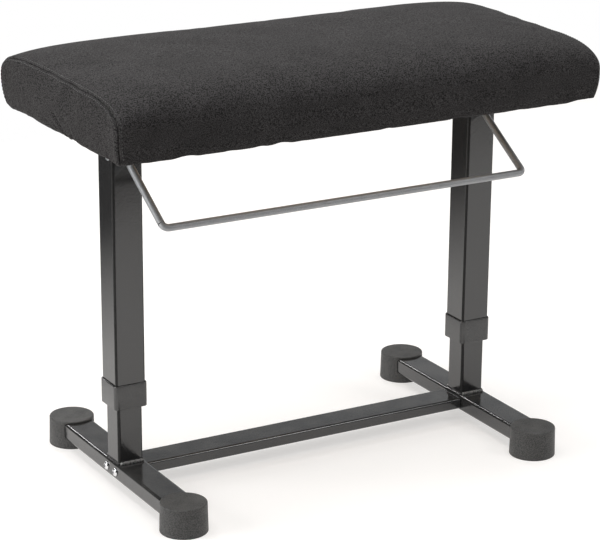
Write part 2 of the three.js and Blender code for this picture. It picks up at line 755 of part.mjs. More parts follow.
// Closed surface of the pad: sections along X, a gently bulging panel at each end
function padSurface() {
  const position = [];
  const index = [];
  const half = seat.length / 2;
  const vertex = (x, y, z) => position.push(x, y, z) / 3 - 1;
  const shrink = (z) => {
    const below = Math.max(0, (seat.waist - z) / seat.waist);
    const above = Math.max(0, (z - seat.waist) / (seat.height - seat.waist));
    return seat.drawnIn * below * below + seat.topLean * above * above;
  };
  const loops = padStations().map((x) => {
    const depth = padHalfDepth(x);
    const profile = padProfile(padTop(x));
    const place = (side) => ({ inward, share, z }) => {
      const along = x * (half - shrink(z)) / half;
      return vertex(along, side * (depth * share - inward), z);
    };
    const front = profile.map(place(-1));
    const back = profile.slice(0, -1).map(place(1)).reverse();
    return { loop: [...front, ...back], profile, depth, x };
  });
  const count = loops[0].loop.length;
  for (let s = 0; s + 1 < loops.length; s += 1) {
    for (let i = 0; i < count; i += 1) {
      const next = (i + 1) % count;
      const [a, b] = [loops[s].loop[i], loops[s].loop[next]];
      const [c, d] = [loops[s + 1].loop[i], loops[s + 1].loop[next]];
      index.push(a, c, d, a, d, b);
    }
  }
  for (const end of [loops[0], loops[loops.length - 1]]) {
    const sign = Math.sign(end.x);
    const levels = end.profile.length - 1;
    const rows = end.profile.map(({ inward, share, z }, level) => {
      const front = end.loop[level];
      if (level === levels) {
        return [front];
      }
      const back = end.loop[count - 1 - level];
      const reach = end.depth * share - inward;
      const middle = padEndShares.map((t) => {
        const y = reach * (2 * t - 1);
        const bulge = seat.endBulge * (1 - (2 * t - 1) ** 2) * (reach / end.depth);
        return vertex(sign * (half - shrink(z) + bulge), y, z);
      });
      return [front, ...middle, back];
    });
    const triangle = (a, b, c) => (sign > 0 ? index.push(a, b, c) : index.push(a, c, b));
    for (let i = 1; i + 1 < rows[0].length; i += 1) {
      triangle(rows[0][0], rows[0][i + 1], rows[0][i]);
    }
    for (let level = 0; level < levels; level += 1) {
      const [low, high] = [rows[level], rows[level + 1]];
      for (let i = 0; i + 1 < low.length; i += 1) {
        const a = high.length > 1 ? high[i] : high[0];
        triangle(low[i], low[i + 1], a);
        if (high.length > 1) {
          triangle(low[i + 1], high[i + 1], high[i]);
        }
      }
    }
  }
  const geometry = new THREE.BufferGeometry();
  geometry.setAttribute('position', new THREE.Float32BufferAttribute(position, 3));
  geometry.setIndex(index);
  return geometry;
}

// Foam and fabric with a pocket for the board and a hem turned under its edge
function cushionShape() {
  const corner = board.corner + fit;
  const pocket = extrude(
    roundedRectangle(boardLength + 2 * fit, boardDepth + 2 * fit, corner), board.thickness + 2 * fit,
  );
  pocket.translate(0, 0, seat.hem);
  const window = block(
    seat.length - 2 * seat.hemWidth, seat.depth - 2 * seat.hemWidth, board.corner, seat.hem + 2 * overrun,
  );
  window.translate(0, 0, -overrun);
  return cut(padSurface(), [pocket, window]).translate(0, 0, seatBottom);
}

// Assembly
for (const [sideName, side] of [['left', -1], ['right', 1]]) {
  const x = side * columnX;
  add(`foot_rail_${sideName}`, railShape(), powderCoat, x);
  for (const [endName, end] of [['front', -1], ['rear', 1]]) {
    add(`foot_${endName}_${sideName}`, footShape(end), footPlastic, x, end * footY);
    add(`foot_screw_${endName}_${sideName}`, footScrewShape(), zincSteel, x, end * footY);
    const bolt = side > 0 ? beamBoltShape().rotateZ(Math.PI) : beamBoltShape();
    const boltX = x + side * (railWidth / 2 + fit);
    add(`beam_bolt_${endName}_${sideName}`, bolt, brightSteel, boltX, end * boltSpacing / 2, railMiddle);
  }
  const insertX = side * (beamHalf - beamInsert.length / 2) - beamInsert.length / 2;
  add(`beam_insert_${sideName}`, beamInsertShape(), zincSteel, insertX);
  add(`lower_post_${sideName}`, lowerPostShape(), powderCoat, x);
  add(`guide_plug_${sideName}`, guidePlugShape(), darkPlastic, x);
  add(`cylinder_spacer_${sideName}`, spacerShape(), darkPlastic, x);
  add(`cylinder_bolt_${sideName}`, cylinderBoltShape(), zincSteel, x);
  add(`gas_cylinder_${sideName}`, cylinderShape(), powderCoat, x);
  add(`gas_rod_${sideName}`, gasRodShape(), brightSteel, x);
  add(`valve_pin_${sideName}`, valvePinShape(), brightSteel, x);
  add(`rod_plate_${sideName}`, rodPlateShape(), powderCoat, x);
  add(`rod_nut_${sideName}`, rodNutShape(), zincSteel, x);
  add(`upper_post_${sideName}`, upperPostShape(), powderCoat, x);
  add(`collar_${sideName}`, collarShape(), darkPlastic, x);
  const pin = side > 0 ? leverPinShape().rotateZ(Math.PI) : leverPinShape();
  add(`lever_pin_${sideName}`, pin, zincSteel, x, pivotY, pivotZ);
  const clipX = x - side * (upperWidth / 2 + 2 * fit + leverClip.thickness / 2);
  add(`lever_clip_${sideName}`, leverClipShape(), zincSteel, clipX, pivotY, pivotZ);
  add(`seat_bracket_${sideName}`, bracketShape(), powderCoat, x);
  screwPlaces().forEach(([dx, dy], i) => {
    add(`bracket_screw_${sideName}_${i + 1}`, boardScrewShape(), zincSteel, x + dx, dy);
  });
}
add('cross_beam', beamShape(), powderCoat);
add('release_bar', releaseBarShape(), satinSteel);
add('seat_board', boardShape(), plywood);
add('seat_cushion', cushionShape(), fabric);

export default bench;
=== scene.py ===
import math
import bmesh
import bpy
import numpy as np
from mathutils import Matrix, Quaternion, Vector, noise
from mathutils.bvhtree import BVHTree


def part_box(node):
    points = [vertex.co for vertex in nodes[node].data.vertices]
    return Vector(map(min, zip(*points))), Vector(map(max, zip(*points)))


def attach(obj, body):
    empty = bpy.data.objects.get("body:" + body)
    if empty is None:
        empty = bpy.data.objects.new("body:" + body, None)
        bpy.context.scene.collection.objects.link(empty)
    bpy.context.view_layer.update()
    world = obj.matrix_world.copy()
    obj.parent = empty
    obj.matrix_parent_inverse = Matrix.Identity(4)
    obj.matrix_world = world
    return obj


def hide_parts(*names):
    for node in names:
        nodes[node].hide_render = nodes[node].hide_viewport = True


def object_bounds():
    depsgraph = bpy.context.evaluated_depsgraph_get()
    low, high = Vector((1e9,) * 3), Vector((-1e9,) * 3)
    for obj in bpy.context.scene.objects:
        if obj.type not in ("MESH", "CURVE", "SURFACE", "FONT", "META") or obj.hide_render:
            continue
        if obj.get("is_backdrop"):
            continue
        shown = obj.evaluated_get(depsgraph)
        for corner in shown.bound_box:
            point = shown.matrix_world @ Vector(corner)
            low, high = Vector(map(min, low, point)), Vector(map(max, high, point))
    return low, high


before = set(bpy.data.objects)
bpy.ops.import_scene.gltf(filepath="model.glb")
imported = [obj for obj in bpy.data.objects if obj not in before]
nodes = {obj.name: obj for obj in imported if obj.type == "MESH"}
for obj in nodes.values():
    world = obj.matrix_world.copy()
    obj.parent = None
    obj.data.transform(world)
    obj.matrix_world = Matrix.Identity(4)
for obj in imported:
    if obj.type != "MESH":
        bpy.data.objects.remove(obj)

cad_low, cad_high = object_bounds()

# The studio
# A white light table under the bench, one wide softbox overhead, a panel on each side, and a small lamp
# in front and behind that draw thin highlights along the tubes. The camera stands to the left of the
# front, a little above the seat, with a long lens.
def add_object(name, data):
    thing = bpy.data.objects.new(name, data)
    bpy.context.collection.objects.link(thing)
    return thing


def fill(node, *slots):
    """Fills slots of a node: (slot, value), or (slot, other node, its output) to wire the two."""
    for slot, value, *output in slots:
        if output:
            node.id_data.links.new(value.outputs[output[0]], node.inputs[slot])
        else:
            node.inputs[slot].default_value = value
    return node


def add_node(tree, kind, *slots, **settings):
    node = tree.nodes.new(kind)
    for name, value in settings.items():
        setattr(node, name, value)
    return fill(node, *slots)


def new_finish(name, **sockets):
    material = bpy.data.materials.new(name)
    material.use_nodes = True
    slots = [(label.replace("_", " "), value) for label, value in sockets.items()]
    return material, fill(material.node_tree.nodes["Principled BSDF"], *slots)


view_azimuth, view_elevation, view_distance = math.radians(29.748), math.radians(19.582), 2.76694
view_roll, view_target = math.radians(0.4465), Vector((0, 0, 0.1463))
camera_data = bpy.data.cameras.new("camera")
camera_data.sensor_width, camera_data.lens = 36, 145.744
camera_data.shift_x, camera_data.shift_y = -0.0034, 0.0963
camera_data.clip_start, camera_data.clip_end = 0.05, 60
camera = add_object("camera", camera_data)
backwards = Vector((-math.sin(view_azimuth) * math.cos(view_elevation),
                    -math.cos(view_azimuth) * math.cos(view_elevation), math.sin(view_elevation)))
camera.location = view_target + backwards * view_distance
camera.rotation_mode = "QUATERNION"
camera.rotation_quaternion = (-backwards).to_track_quat("-Z", "Y") @ Quaternion((0, 0, 1), view_roll)
bpy.context.scene.camera = camera
bpy.context.scene.view_settings.view_transform = "Standard"


def softbox(name, place, aim, size, watts):
    lamp = bpy.data.lights.new(name, "AREA")
    lamp.shape, lamp.size, lamp.size_y, lamp.energy = "RECTANGLE", size[0], size[1], watts
    holder = add_object(name, lamp)
    holder.location = place
    holder.rotation_euler = (Vector(aim) - Vector(place)).to_track_quat("-Z", "Y").to_euler()
    holder.visible_camera = False


softbox("softbox_overhead", (-0.25, 0.1, 2.5), (-0.1, 0.05, 0), (2.6, 2.2), 72)
softbox("panel_left", (-2.1, 0.3, 0.9), (-0.2, 0, 0.3), (1.2, 1.0), 31)
softbox("panel_right", (2.3, 0.5, 0.9), (0, 0, 0.1), (1.6, 1.4), 9)
softbox("strip_front", (0.98, -1.3, 1.5), (0, 0, 0.1), (0.6, 0.7), 9)
softbox("strip_rear", (-0.05, 2.6, 1.82), (-0.05, 0, 0.03), (0.24, 0.8), 13)

# the tubes mirror a light horizon, a darker band above it and a dark studio in front and on the left,
# while the camera sees plain white
world = bpy.data.worlds.new("studio_air")
world.use_nodes = True
air = world.node_tree
mirrored = air.nodes["Background"]
axes = add_node(air, "ShaderNodeSeparateXYZ", ("Vector", add_node(air, "ShaderNodeTexCoord"), "Generated"))
air_bands = add_node(air, "ShaderNodeValToRGB", ("Fac", axes, "Z"))
bands = air_bands.color_ramp.elements
bands[0].position, bands[1].position = 0.0, 0.36
bands[0].color = bands[1].color = (0.56, 0.57, 0.58, 1)
for height, grey in ((0.42, 0.1), (0.75, 0.1), (1.0, 0.5)):
    bands.new(height).color = (grey, grey, grey, 1)
shares = [add_node(air, "ShaderNodeMapRange", ("Value", axes, axis), ("From Min", darkest),
                   ("From Max", brightest), ("To Min", least))
          for axis, darkest, brightest, least in (("Y", -0.3, 0.25, 0.3), ("X", -0.3, 0.1, 0.15))]
level = add_node(air, "ShaderNodeMath", (0, shares[0], "Result"), (1, shares[1], "Result"),
                 operation="MULTIPLY")
fill(mirrored, ("Color", air_bands, "Color"), ("Strength", level, 0))
white = add_node(air, "ShaderNodeBackground", ("Color", (1, 1, 1, 1)))
either = add_node(air, "ShaderNodeMixShader", (0, add_node(air, "ShaderNodeLightPath"), "Is Camera Ray"),
                  (1, mirrored, 0), (2, white, 0))
fill(air.nodes["World Output"], ("Surface", either, 0))
bpy.context.scene.world = world


def flat_sheet(name, half, near, far, height, look):
    mesh = bpy.data.meshes.new(name)
    corners = [(x, y, height) for x, y in ((-half, near), (half, near), (half, far), (-half, far))]
    mesh.from_pydata(corners, [], [(0, 1, 2, 3)])
    mesh.materials.append(look)
    return add_object(name, mesh)


def black_flag(name, near, far, fade_from, fade_to, turn=0):
    """A black cloth on the floor, out of the picture, that only the glossy tubes mirror."""
    look, shader = new_finish(name, Base_Color=(0.01, 0.01, 0.01, 1), Roughness=1)
    place = add_node(look.node_tree, "ShaderNodeTexCoord")
    axes = add_node(look.node_tree, "ShaderNodeSeparateXYZ", ("Vector", place, "Object"))
    fade = add_node(look.node_tree, "ShaderNodeMapRange", ("Value", axes, "Y"), ("From Min", fade_from),
                    ("From Max", fade_to))
    fill(shader, ("Alpha", fade, "Result"))
    flag = flat_sheet(name, 3, near, far, 0.002, look)
    flag.rotation_euler.z = math.radians(turn)
    flag.visible_camera = flag.visible_diffuse = flag.visible_shadow = False
    flag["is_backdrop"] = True


paper, _ = new_finish("floor_paper", Base_Color=(0.5, 0.49, 0.48, 1), Roughness=0.9,
                      Emission_Color=(1, 0.98, 0.96, 1), Emission_Strength=0.55)
flat_sheet("studio_floor", 9, -9, 1.4, 0, paper)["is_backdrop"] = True
black_flag("black_flag_rear", 0.35, 4, 0.36, 0.88)
black_flag("black_flag_front", -4, -0.8, -0.85, -1.1, -15)


# Foot rails, one under each end
# Flat rectangular steel tube, 35 by 18.6 mm with round corners, cut square, drilled for the bolts and
# screws, and coated with glossy black powder like every other steel tube of the bench.
def new_group(name, sizes, output):
    group = bpy.data.node_groups.new(name, "ShaderNodeTree")
    for label, value in sizes.items():
        socket = group.interface.new_socket(name=label, in_out="INPUT", socket_type="NodeSocketFloat")
        socket.default_value = value
    group.interface.new_socket(name=output, in_out="OUTPUT", socket_type="NodeSocketFloat")
    return group, group.nodes.new("NodeGroupInput"), group.nodes.new("NodeGroupOutput")


# soft specks and blotches that every finish of the bench uses at its own size, longer in depth for a nap
grain, grain_in, grain_out = new_group("grain", {"Scale": 800.0, "Detail": 2.0, "Low": 0.35, "High": 0.65,
                                                 "Nap": 1.0}, "Value")
place = add_node(grain, "ShaderNodeTexCoord")
lay = add_node(grain, "ShaderNodeCombineXYZ", ("X", 1), ("Y", grain_in, "Nap"), ("Z", 1))
laid = add_node(grain, "ShaderNodeVectorMath", (0, place, "Object"), (1, lay, "Vector"), operation="MULTIPLY")
specks = add_node(grain, "ShaderNodeTexNoise", ("Vector", laid, "Vector"), ("Scale", grain_in, "Scale"),
                  ("Detail", grain_in, "Detail"))
spread = add_node(grain, "ShaderNodeMapRange", ("Value", specks, "Fac"), ("From Min", grain_in, "Low"),
                  ("From Max", grain_in, "High"))
fill(grain_out, ("Value", spread, "Result"))

# a thin film of dust, thicker where a surface looks up
dust, dust_in, dust_out = new_group("dust", {"Amount": 0.3, "Scale": 60.0}, "Mask")
upward = add_node(dust, "ShaderNodeSeparateXYZ", ("Vector", add_node(dust, "ShaderNodeNewGeometry"), "Normal"))
drift = add_node(dust, "ShaderNodeTexNoise", ("Vector", add_node(dust, "ShaderNodeTexCoord"), "Object"),
                 ("Scale", dust_in, "Scale"), ("Detail", 4))
lift_share = add_node(dust, "ShaderNodeMapRange", ("Value", upward, "Z"), ("From Min", 0.2))
patch = add_node(dust, "ShaderNodeMapRange", ("Value", drift, "Fac"), ("From Min", 0.35), ("From Max", 0.75))
both = add_node(dust, "ShaderNodeMath", (0, lift_share, "Result"), (1, patch, "Result"), operation="MULTIPLY")
amount = add_node(dust, "ShaderNodeMath", (0, both, 0), (1, dust_in, "Amount"), operation="MULTIPLY")
fill(dust_out, ("Mask", amount, 0))


def add_effect(material, group, label, *sizes):
    return add_node(material.node_tree, "ShaderNodeGroup", *enumerate(sizes), node_tree=group, label=label)


def add_mix(material, dark, light, factor, output="Value"):
    """Blends two colours, each a colour or a blend made before."""
    ends = [(slot, end, 2) if hasattr(end, "outputs") else (slot, (*end, 1))
            for slot, end in ((6, dark), (7, light))]
    return add_node(material.node_tree, "ShaderNodeMix", *ends, (0, factor, output), data_type="RGBA")


def add_bump(material, height, distance, strength, under=None, output="Value"):
    below = [("Normal", under, "Normal")] if under else []
    return add_node(material.node_tree, "ShaderNodeBump", ("Height", height, output), ("Distance", distance),
                    ("Strength", strength), *below)


def grained_finish(name, colours, tone, roughness, shine, relief=(), film=(), **sockets):
    """A finish whose colour follows one grain and its roughness another, with fine relief and dust."""
    material, shader = new_finish(name, **sockets)
    grains = {}
    for sizes in (tone, shine, *(layer[0] for layer in relief)):
        grains[sizes] = grains.get(sizes) or add_effect(material, grain, *sizes)
    colour = add_mix(material, *colours, grains[tone])
    if film:
        colour = add_mix(material, colour, film[0], add_effect(material, dust, "dust", *film[1:]), "Mask")
    rough = add_node(material.node_tree, "ShaderNodeMapRange", ("Value", grains[shine], "Value"),
                     ("To Min", roughness[0]), ("To Max", roughness[1]))
    fill(shader, ("Base Color", colour, 2), ("Roughness", rough, "Result"))
    bump = None
    for sizes, distance, strength in relief:
        bump = add_bump(material, grains[sizes], distance, strength, bump)
    if bump:
        fill(shader, ("Normal", bump, "Normal"))
    return material


peel, sparkle = ("orange peel", 420, 1, 0.3, 0.7), ("fine grit", 2600, 0, 0.4, 0.7)
powder_coat = grained_finish("black_powder_coat", ((0.016, 0.016, 0.0165), (0.026, 0.0255, 0.025)), sparkle,
                             (0.07, 0.13), peel, ((sparkle, 0.00002, 0.4), (peel, 0.00006, 0.3)),
                             ((0.12, 0.117, 0.11), 0.35, 45), IOR=1.7)


def rounded_loop(half_x, half_y, corner):
    """Points round a rectangle with round corners, with one more point just past each tangent."""
    steps, guard = 6, 0.0003
    points = []
    for index, (sx, sy) in enumerate(((1, 1), (-1, 1), (-1, -1), (1, -1))):
        centre = Vector((sx * (half_x - corner), sy * (half_y - corner)))
        first = index * math.pi / 2
        start = Vector((math.cos(first), math.sin(first)))
        end = Vector((-start.y, start.x))
        points.append(centre + start * corner - end * guard)
        for step in range(steps + 1):
            angle = first + math.pi / 2 * step / steps
            points.append(centre + Vector((math.cos(angle), math.sin(angle))) * corner)
        points.append(centre + end * corner - start * guard)
    return points


def add_wall(mesh, low, high):
    """A band of faces between two closed rings of as many points each."""
    for i in range(len(low)):
        j = (i + 1) % len(low)
        mesh.faces.new((low[i], low[j], high[j], high[i]))


def swept_ring(name, rings, turn):
    """A closed wall from rings of (half width, half depth, corner, height), the last joined to the first."""
    mesh = bmesh.new()
    loops = [[mesh.verts.new(turn @ Vector((p.x, p.y, height))) for p in rounded_loop(half_x, half_y, corner)]
             for half_x, half_y, corner, height in rings]
    for low, high in zip(loops, loops[1:] + loops[:1]):
        add_wall(mesh, low, high)
    return finish_piece(name, mesh)


def finish_piece(name, mesh):
    bmesh.ops.recalc_face_normals(mesh, faces=mesh.faces)
    data = bpy.data.meshes.new(name)
    mesh.to_mesh(data)
    mesh.free()
    data.shade_smooth()
    data.set_sharp_from_angle(angle=math.radians(32))
    return add_object(name, data)


def tube_rings(half_x, half_y, corner, low, high):
    """Rings of a tube up its outside and down its inside, with a small round on the cut ends."""
    ease = 0.0003
    outside = (half_x, half_y, corner)
    inside = (half_x - tube_wall, half_y - tube_wall, max(corner - tube_wall, 0.0004))
    less, more = [size - ease for size in outside], [size + ease for size in inside]
    return [(*outside, low + ease), (*outside, high - ease), (*less, high), (*more, high),
            (*inside, high - ease), (*inside, low + ease), (*more, low), (*less, low)]


def bore(radius, middle, reach, along=(0, 0, 1), sides=40):
    """A round cutter that reaches as far both ways from the middle."""
    mesh = bmesh.new()
    turn = Vector(along).to_track_quat("Z", "Y").to_matrix().to_4x4()
    bmesh.ops.create_cone(mesh, cap_ends=True, segments=sides, radius1=radius, radius2=radius,
                          depth=2 * reach, matrix=Matrix.Translation(middle) @ turn)
    return finish_piece("tool", mesh)


def carve(piece, tools):
    """Cuts the tools out of the piece and throws them away."""
    for tool in tools:
        cutter = piece.modifiers.new("cut", "BOOLEAN")
        cutter.object, cutter.operation, cutter.solver = tool, "DIFFERENCE", "EXACT"
    return apply_all(piece, tools)


def apply_all(piece, tools=(), crease=32):
    depsgraph = bpy.context.evaluated_depsgraph_get()
    depsgraph.update()
    data = bpy.data.meshes.new_from_object(piece.evaluated_get(depsgraph))
    piece.modifiers.clear()
    old, piece.data = piece.data, data
    data.name = piece.name
    bpy.data.meshes.remove(old)
    for tool in tools:
        bpy.data.objects.remove(tool)
    if crease:
        data.shade_smooth()
        data.set_sharp_from_angle(angle=math.radians(crease))
    return piece


def dress(piece, finish, slot_name, body_name, *replaced):
    piece.data.materials.clear()
    piece.data.materials.append(finish)
    if replaced:
        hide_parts(*replaced)
    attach(piece, body_name)
    return piece


sides = {"left": -1, "right": 1}
x_axis = (1, 0, 0)
tube_wall, rail_corner = 0.0015, 0.003
bolt_y, bolt_bore, foot_screw_y, screw_bore = 0.011, 0.0028, 0.143, 0.0023
head_room, cylinder_bolt_bore = 0.0085, 0.0043
for side in sides:
    low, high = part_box(f"foot_rail_{side}")
    centre, (half_width, half_run, half_height) = (low + high) / 2, (high - low) / 2
    rings = tube_rings(half_width, half_height, rail_corner, -half_run, half_run)
    rail = swept_ring(f"rail_tube_{side}", rings,
                      Matrix.Translation(centre) @ Matrix.Rotation(math.pi / 2, 4, "X"))
    tools = [bore(bolt_bore, (centre.x, y, centre.z), 0.03, x_axis) for y in (-bolt_y, bolt_y)]
    tools += [bore(screw_bore, (centre.x, y, low.z), 0.005) for y in (-foot_screw_y, foot_screw_y)]
    # the cylinder's bolt comes up through the rail, with room for its head below
    tools += [bore(radius, (centre.x, 0, z), 0.005)
              for radius, z in ((head_room, low.z), (cylinder_bolt_bore, high.z))]
    dress(carve(rail, tools), powder_coat, "powder_coat", "base", f"foot_rail_{side}")

# Feet, four
# Round mouldings in matte black plastic, slightly tapered, with a small round edge, a pocket for the
# rail's end and a recess underneath for the screw. The gate of the mould leaves a speck on top.
skin = ("moulded skin", 1200, 0.5, 0.38, 0.62, 0.6)
foot_plastic = grained_finish("matte_foot_plastic", ((0.022, 0.0217, 0.0213), (0.07, 0.0689, 0.0668)), skin,
                              (0.5, 0.64), ("cloudiness", 70, 3, 0.3, 0.7), ((skin, 0.00008, 0.6),),
                              ((0.11, 0.107, 0.1), 0.45, 60), IOR=1.5)


def turned_piece(name, outline, place, count=96):
    """A solid of revolution about Z from (radius, height) points, from one pole to the other."""
    mesh = bmesh.new()
    rings = []
    for radius, height in outline:
        around = count if radius else 1
        turns = [2 * math.pi * i / around for i in range(around)]
        rings.append([mesh.verts.new(place @ Vector((radius * math.cos(t), radius * math.sin(t), height)))
                      for t in turns])
    for low_ring, high_ring in zip(rings, rings[1:]):
        for i in range(count):
            j = (i + 1) % count
            corners = [low_ring[i % len(low_ring)], low_ring[j % len(low_ring)],
                       high_ring[j % len(high_ring)], high_ring[i % len(high_ring)]]
            mesh.faces.new(list(dict.fromkeys(corners)))
    return finish_piece(name, mesh)


def round_edge(centre_radius, centre_height, radius, first, last, steps):
    """Quarter of a rounded edge as (radius, height) points, from the first angle to the last."""
    turns = [math.radians(first + (last - first) * i / steps) for i in range(steps + 1)]
    return [(centre_radius + radius * math.cos(t), centre_height + radius * math.sin(t)) for t in turns]


def prism(name, outline, depth, turn):
    """A closed bar whose section is the outline, from the plane at zero to the depth."""
    mesh = bmesh.new()
    low, high = ([mesh.verts.new(turn @ Vector((p[0], p[1], z))) for p in outline] for z in (0, depth))
    add_wall(mesh, low, high)
    mesh.faces.new(low)
    mesh.faces.new(high)
    return finish_piece(name, mesh)


foot_edge, foot_taper, guard = 0.0014, 0.0008, 0.0004
pocket = (0.0178, 0.0096, 0.003)
for side in sides:
    rail_low, rail_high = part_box(f"foot_rail_{side}")
    for end, way in (("front", -1), ("rear", 1)):
        low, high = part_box(f"foot_{end}_{side}")
        centre, height = (low + high) / 2, high.z - low.z
        wide = (high.y - low.y) / 2
        narrow = wide - foot_taper
        small = foot_edge / 2
        outline = [(0, 0.003), (0.0168, 0.003), (0.017, 0.0028), (0.0171, 0.0002), (0.0173, 0)]
        outline += round_edge(wide - small, small, small, -90, 0, 4)
        outline += [(wide - 0.00003, small + guard), (narrow + 0.00003, height - foot_edge - guard)]
        outline += round_edge(narrow - foot_edge, height - foot_edge, foot_edge, 0, 90, 8)
        outline += [(narrow - foot_edge - guard, height), (0.0009, height), (0.0007, height + 0.00018),
                    (0, height + 0.0002)]
        foot = turned_piece(f"foot_moulding_{end}_{side}", outline, Matrix.Translation((centre.x, centre.y, 0)))
        deep = abs((rail_low.y if way < 0 else rail_high.y) - centre.y) + 0.0003
        socket = prism("tool", rounded_loop(*pocket), 0.05 + deep,
                       Matrix.Translation((centre.x, centre.y + way * deep, (rail_low.z + rail_high.z) / 2))
                       @ Matrix.Rotation(way * math.pi / 2, 4, "X"))
        screw_hole = bore(screw_bore, (centre.x, centre.y, 0.0055), 0.0075)
        dress(carve(foot, [socket, screw_hole]), foot_plastic, "foot_plastic", "base", f"foot_{end}_{side}")


# Cross beam
# A flatter tube, 38 by 13 mm, cut square and clamped between the two rails. A pressed block with two
# tapped bores sits in each end, and the same black powder coat covers the tube.
def refinish(finish, *names):
    for name in names:
        data = nodes[name].data
        data.materials.clear()
        data.materials.append(finish)


low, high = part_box("cross_beam")
beam_corner = 0.0025
rings = tube_rings((high.z - low.z) / 2, (high.y - low.y) / 2, beam_corner, low.x, high.x)
beam = swept_ring("cross_beam_tube", rings,
                  Matrix.Translation((0, 0, (low.z + high.z) / 2)) @ Matrix.Rotation(math.pi / 2, 4, "Y"))
dress(beam, powder_coat, "powder_coat", "base", "cross_beam")
cloud = ("plating clouds", 240, 3, 0.3, 0.7)
zinc_steel = grained_finish("zinc_plate", ((0.4, 0.42, 0.44), (0.6, 0.62, 0.63)), cloud, (0.28, 0.45), cloud,
                            ((("fine grit", 2400, 1, 0.35, 0.65), 0.00003, 0.5),), Metallic=1)
refinish(zinc_steel, "beam_insert_left", "beam_insert_right")

# Beam bolts, foot screws and bracket screws
# Bright button-head bolts clamp the rails to the beam, pan-head screws come up through the feet, and
# wood screws hold the brackets to the board. Each is one turned head on a round shank.
cloud = ("plating clouds", 500, 2, 0.3, 0.7)
bright_steel = grained_finish("bright_plate", ((0.72, 0.72, 0.74), (0.86, 0.86, 0.87)), cloud, (0.16, 0.28),
                              cloud, Metallic=1)


def new_maker(name, **inputs):
    """Geometry nodes that set copies of a piece at spots and lay a finish on them."""
    tree = bpy.data.node_groups.new(name, "GeometryNodeTree")
    for label, kind in {"Geometry": "Geometry", **inputs, "Finish": "Material"}.items():
        tree.interface.new_socket(name=label.replace("_", " "), in_out="INPUT", socket_type=f"NodeSocket{kind}")
    tree.interface.new_socket(name="Geometry", in_out="OUTPUT", socket_type="NodeSocketGeometry")
    given = add_node(tree, "NodeGroupInput")
    spots = add_node(tree, "GeometryNodeInstanceOnPoints")
    real = add_node(tree, "GeometryNodeRealizeInstances", ("Geometry", spots, "Instances"))
    coat = add_node(tree, "GeometryNodeSetMaterial", ("Geometry", real, "Geometry"),
                    ("Material", given, "Finish"))
    add_node(tree, "NodeGroupOutput", ("Geometry", coat, "Geometry"))
    return tree, given, spots


fasteners, given, spots = new_maker("fasteners", Head="Object", Head_Radius="Float", Head_Height="Float",
                                    Shank_Radius="Float", Shank_Length="Float")
head = add_node(fasteners, "GeometryNodeObjectInfo", ("Object", given, "Head"))
head_size = add_node(fasteners, "ShaderNodeCombineXYZ", ("X", given, "Head Radius"),
                     ("Y", given, "Head Radius"), ("Z", given, "Head Height"))
sized_head = add_node(fasteners, "GeometryNodeTransform", ("Geometry", head, "Geometry"),
                      ("Scale", head_size, "Vector"))
shank = add_node(fasteners, "GeometryNodeMeshCylinder", ("Vertices", 24), ("Radius", given, "Shank Radius"),
                 ("Depth", given, "Shank Length"))
half_length = add_node(fasteners, "ShaderNodeMath", (0, given, "Shank Length"), (1, 0.5), operation="MULTIPLY")
shank_place = add_node(fasteners, "ShaderNodeCombineXYZ", ("Z", half_length, 0))
set_shank = add_node(fasteners, "GeometryNodeTransform", ("Geometry", shank, "Mesh"),
                     ("Translation", shank_place, "Vector"))
whole = add_node(fasteners, "GeometryNodeJoinGeometry", ("Geometry", sized_head, "Geometry"),
                 ("Geometry", set_shank, "Geometry"))
facing = add_node(fasteners, "GeometryNodeInputNamedAttribute", ("Name", "facing"), data_type="FLOAT_VECTOR")
fill(spots, ("Points", given, "Geometry"), ("Instance", whole, "Geometry"), ("Rotation", facing, "Attribute"))


def laid_out(name, tree, start, **values):
    """A plain mesh of what the tree makes from the start, a mesh of points or edges."""
    holder = add_object(name, start)
    modifier = holder.modifiers.new(name, "NODES")
    modifier.node_group = tree
    for item in tree.interface.items_tree:
        if item.in_out == "INPUT" and item.name.replace(" ", "_") in values:
            modifier[item.identifier] = values[item.name.replace(" ", "_")]
    return apply_all(holder, crease=38)


def unit_head(name, drive, drive_sides, drive_depth):
    """Domed head of radius one and height one, its top at minus one, with its drive sunk in."""
    dome = [(0, -1)] + [(math.sin(math.radians(a)) * 0.96, -0.1 - 0.9 * math.cos(math.radians(a)))
                        for a in range(10, 91, 8)] + [(1, -0.12), (1, -0.02), (0.98, 0), (0, 0)]
    if drive_sides:
        corners = [2 * math.pi * i / drive_sides for i in range(drive_sides)]
        drives = [([(drive * math.cos(t), drive * math.sin(t)) for t in corners], 0)]
    else:
        blade = [(-drive, -drive / 5), (drive, -drive / 5), (drive, drive / 5), (-drive, drive / 5)]
        drives = [(blade, 0), (blade, math.pi / 2)]
    sunk = Matrix.Translation((0, 0, -2 + drive_depth))
    cuts = [prism("tool", outline, 1, Matrix.Rotation(turn, 4, "Z") @ sunk) for outline, turn in drives]
    return carve(turned_piece(name, dome, Matrix.Identity(4), 48), cuts)


def drive_in(name, replaced, body_name, places, turns, head, sizes, finish, slot_name):
    """Fasteners at the places, each turned by (tilt, spin); sizes are of the head and of the shank."""
    start = bpy.data.meshes.new("places")
    start.from_pydata(places, [], [])
    marks = start.attributes.new("facing", "FLOAT_VECTOR", "POINT")
    for i, (tilt, spin) in enumerate(turns):
        marks.data[i].vector = (Matrix.Rotation(tilt, 3, "Y") @ Matrix.Rotation(spin, 3, "Z")).to_euler()
    head_radius, head_height, shank_radius, shank_length = sizes
    row = laid_out(name, fasteners, start, Head=head, Head_Radius=head_radius, Head_Height=head_height,
                   Shank_Radius=shank_radius, Shank_Length=shank_length, Finish=finish)
    dress(row, finish, slot_name, body_name, *replaced)


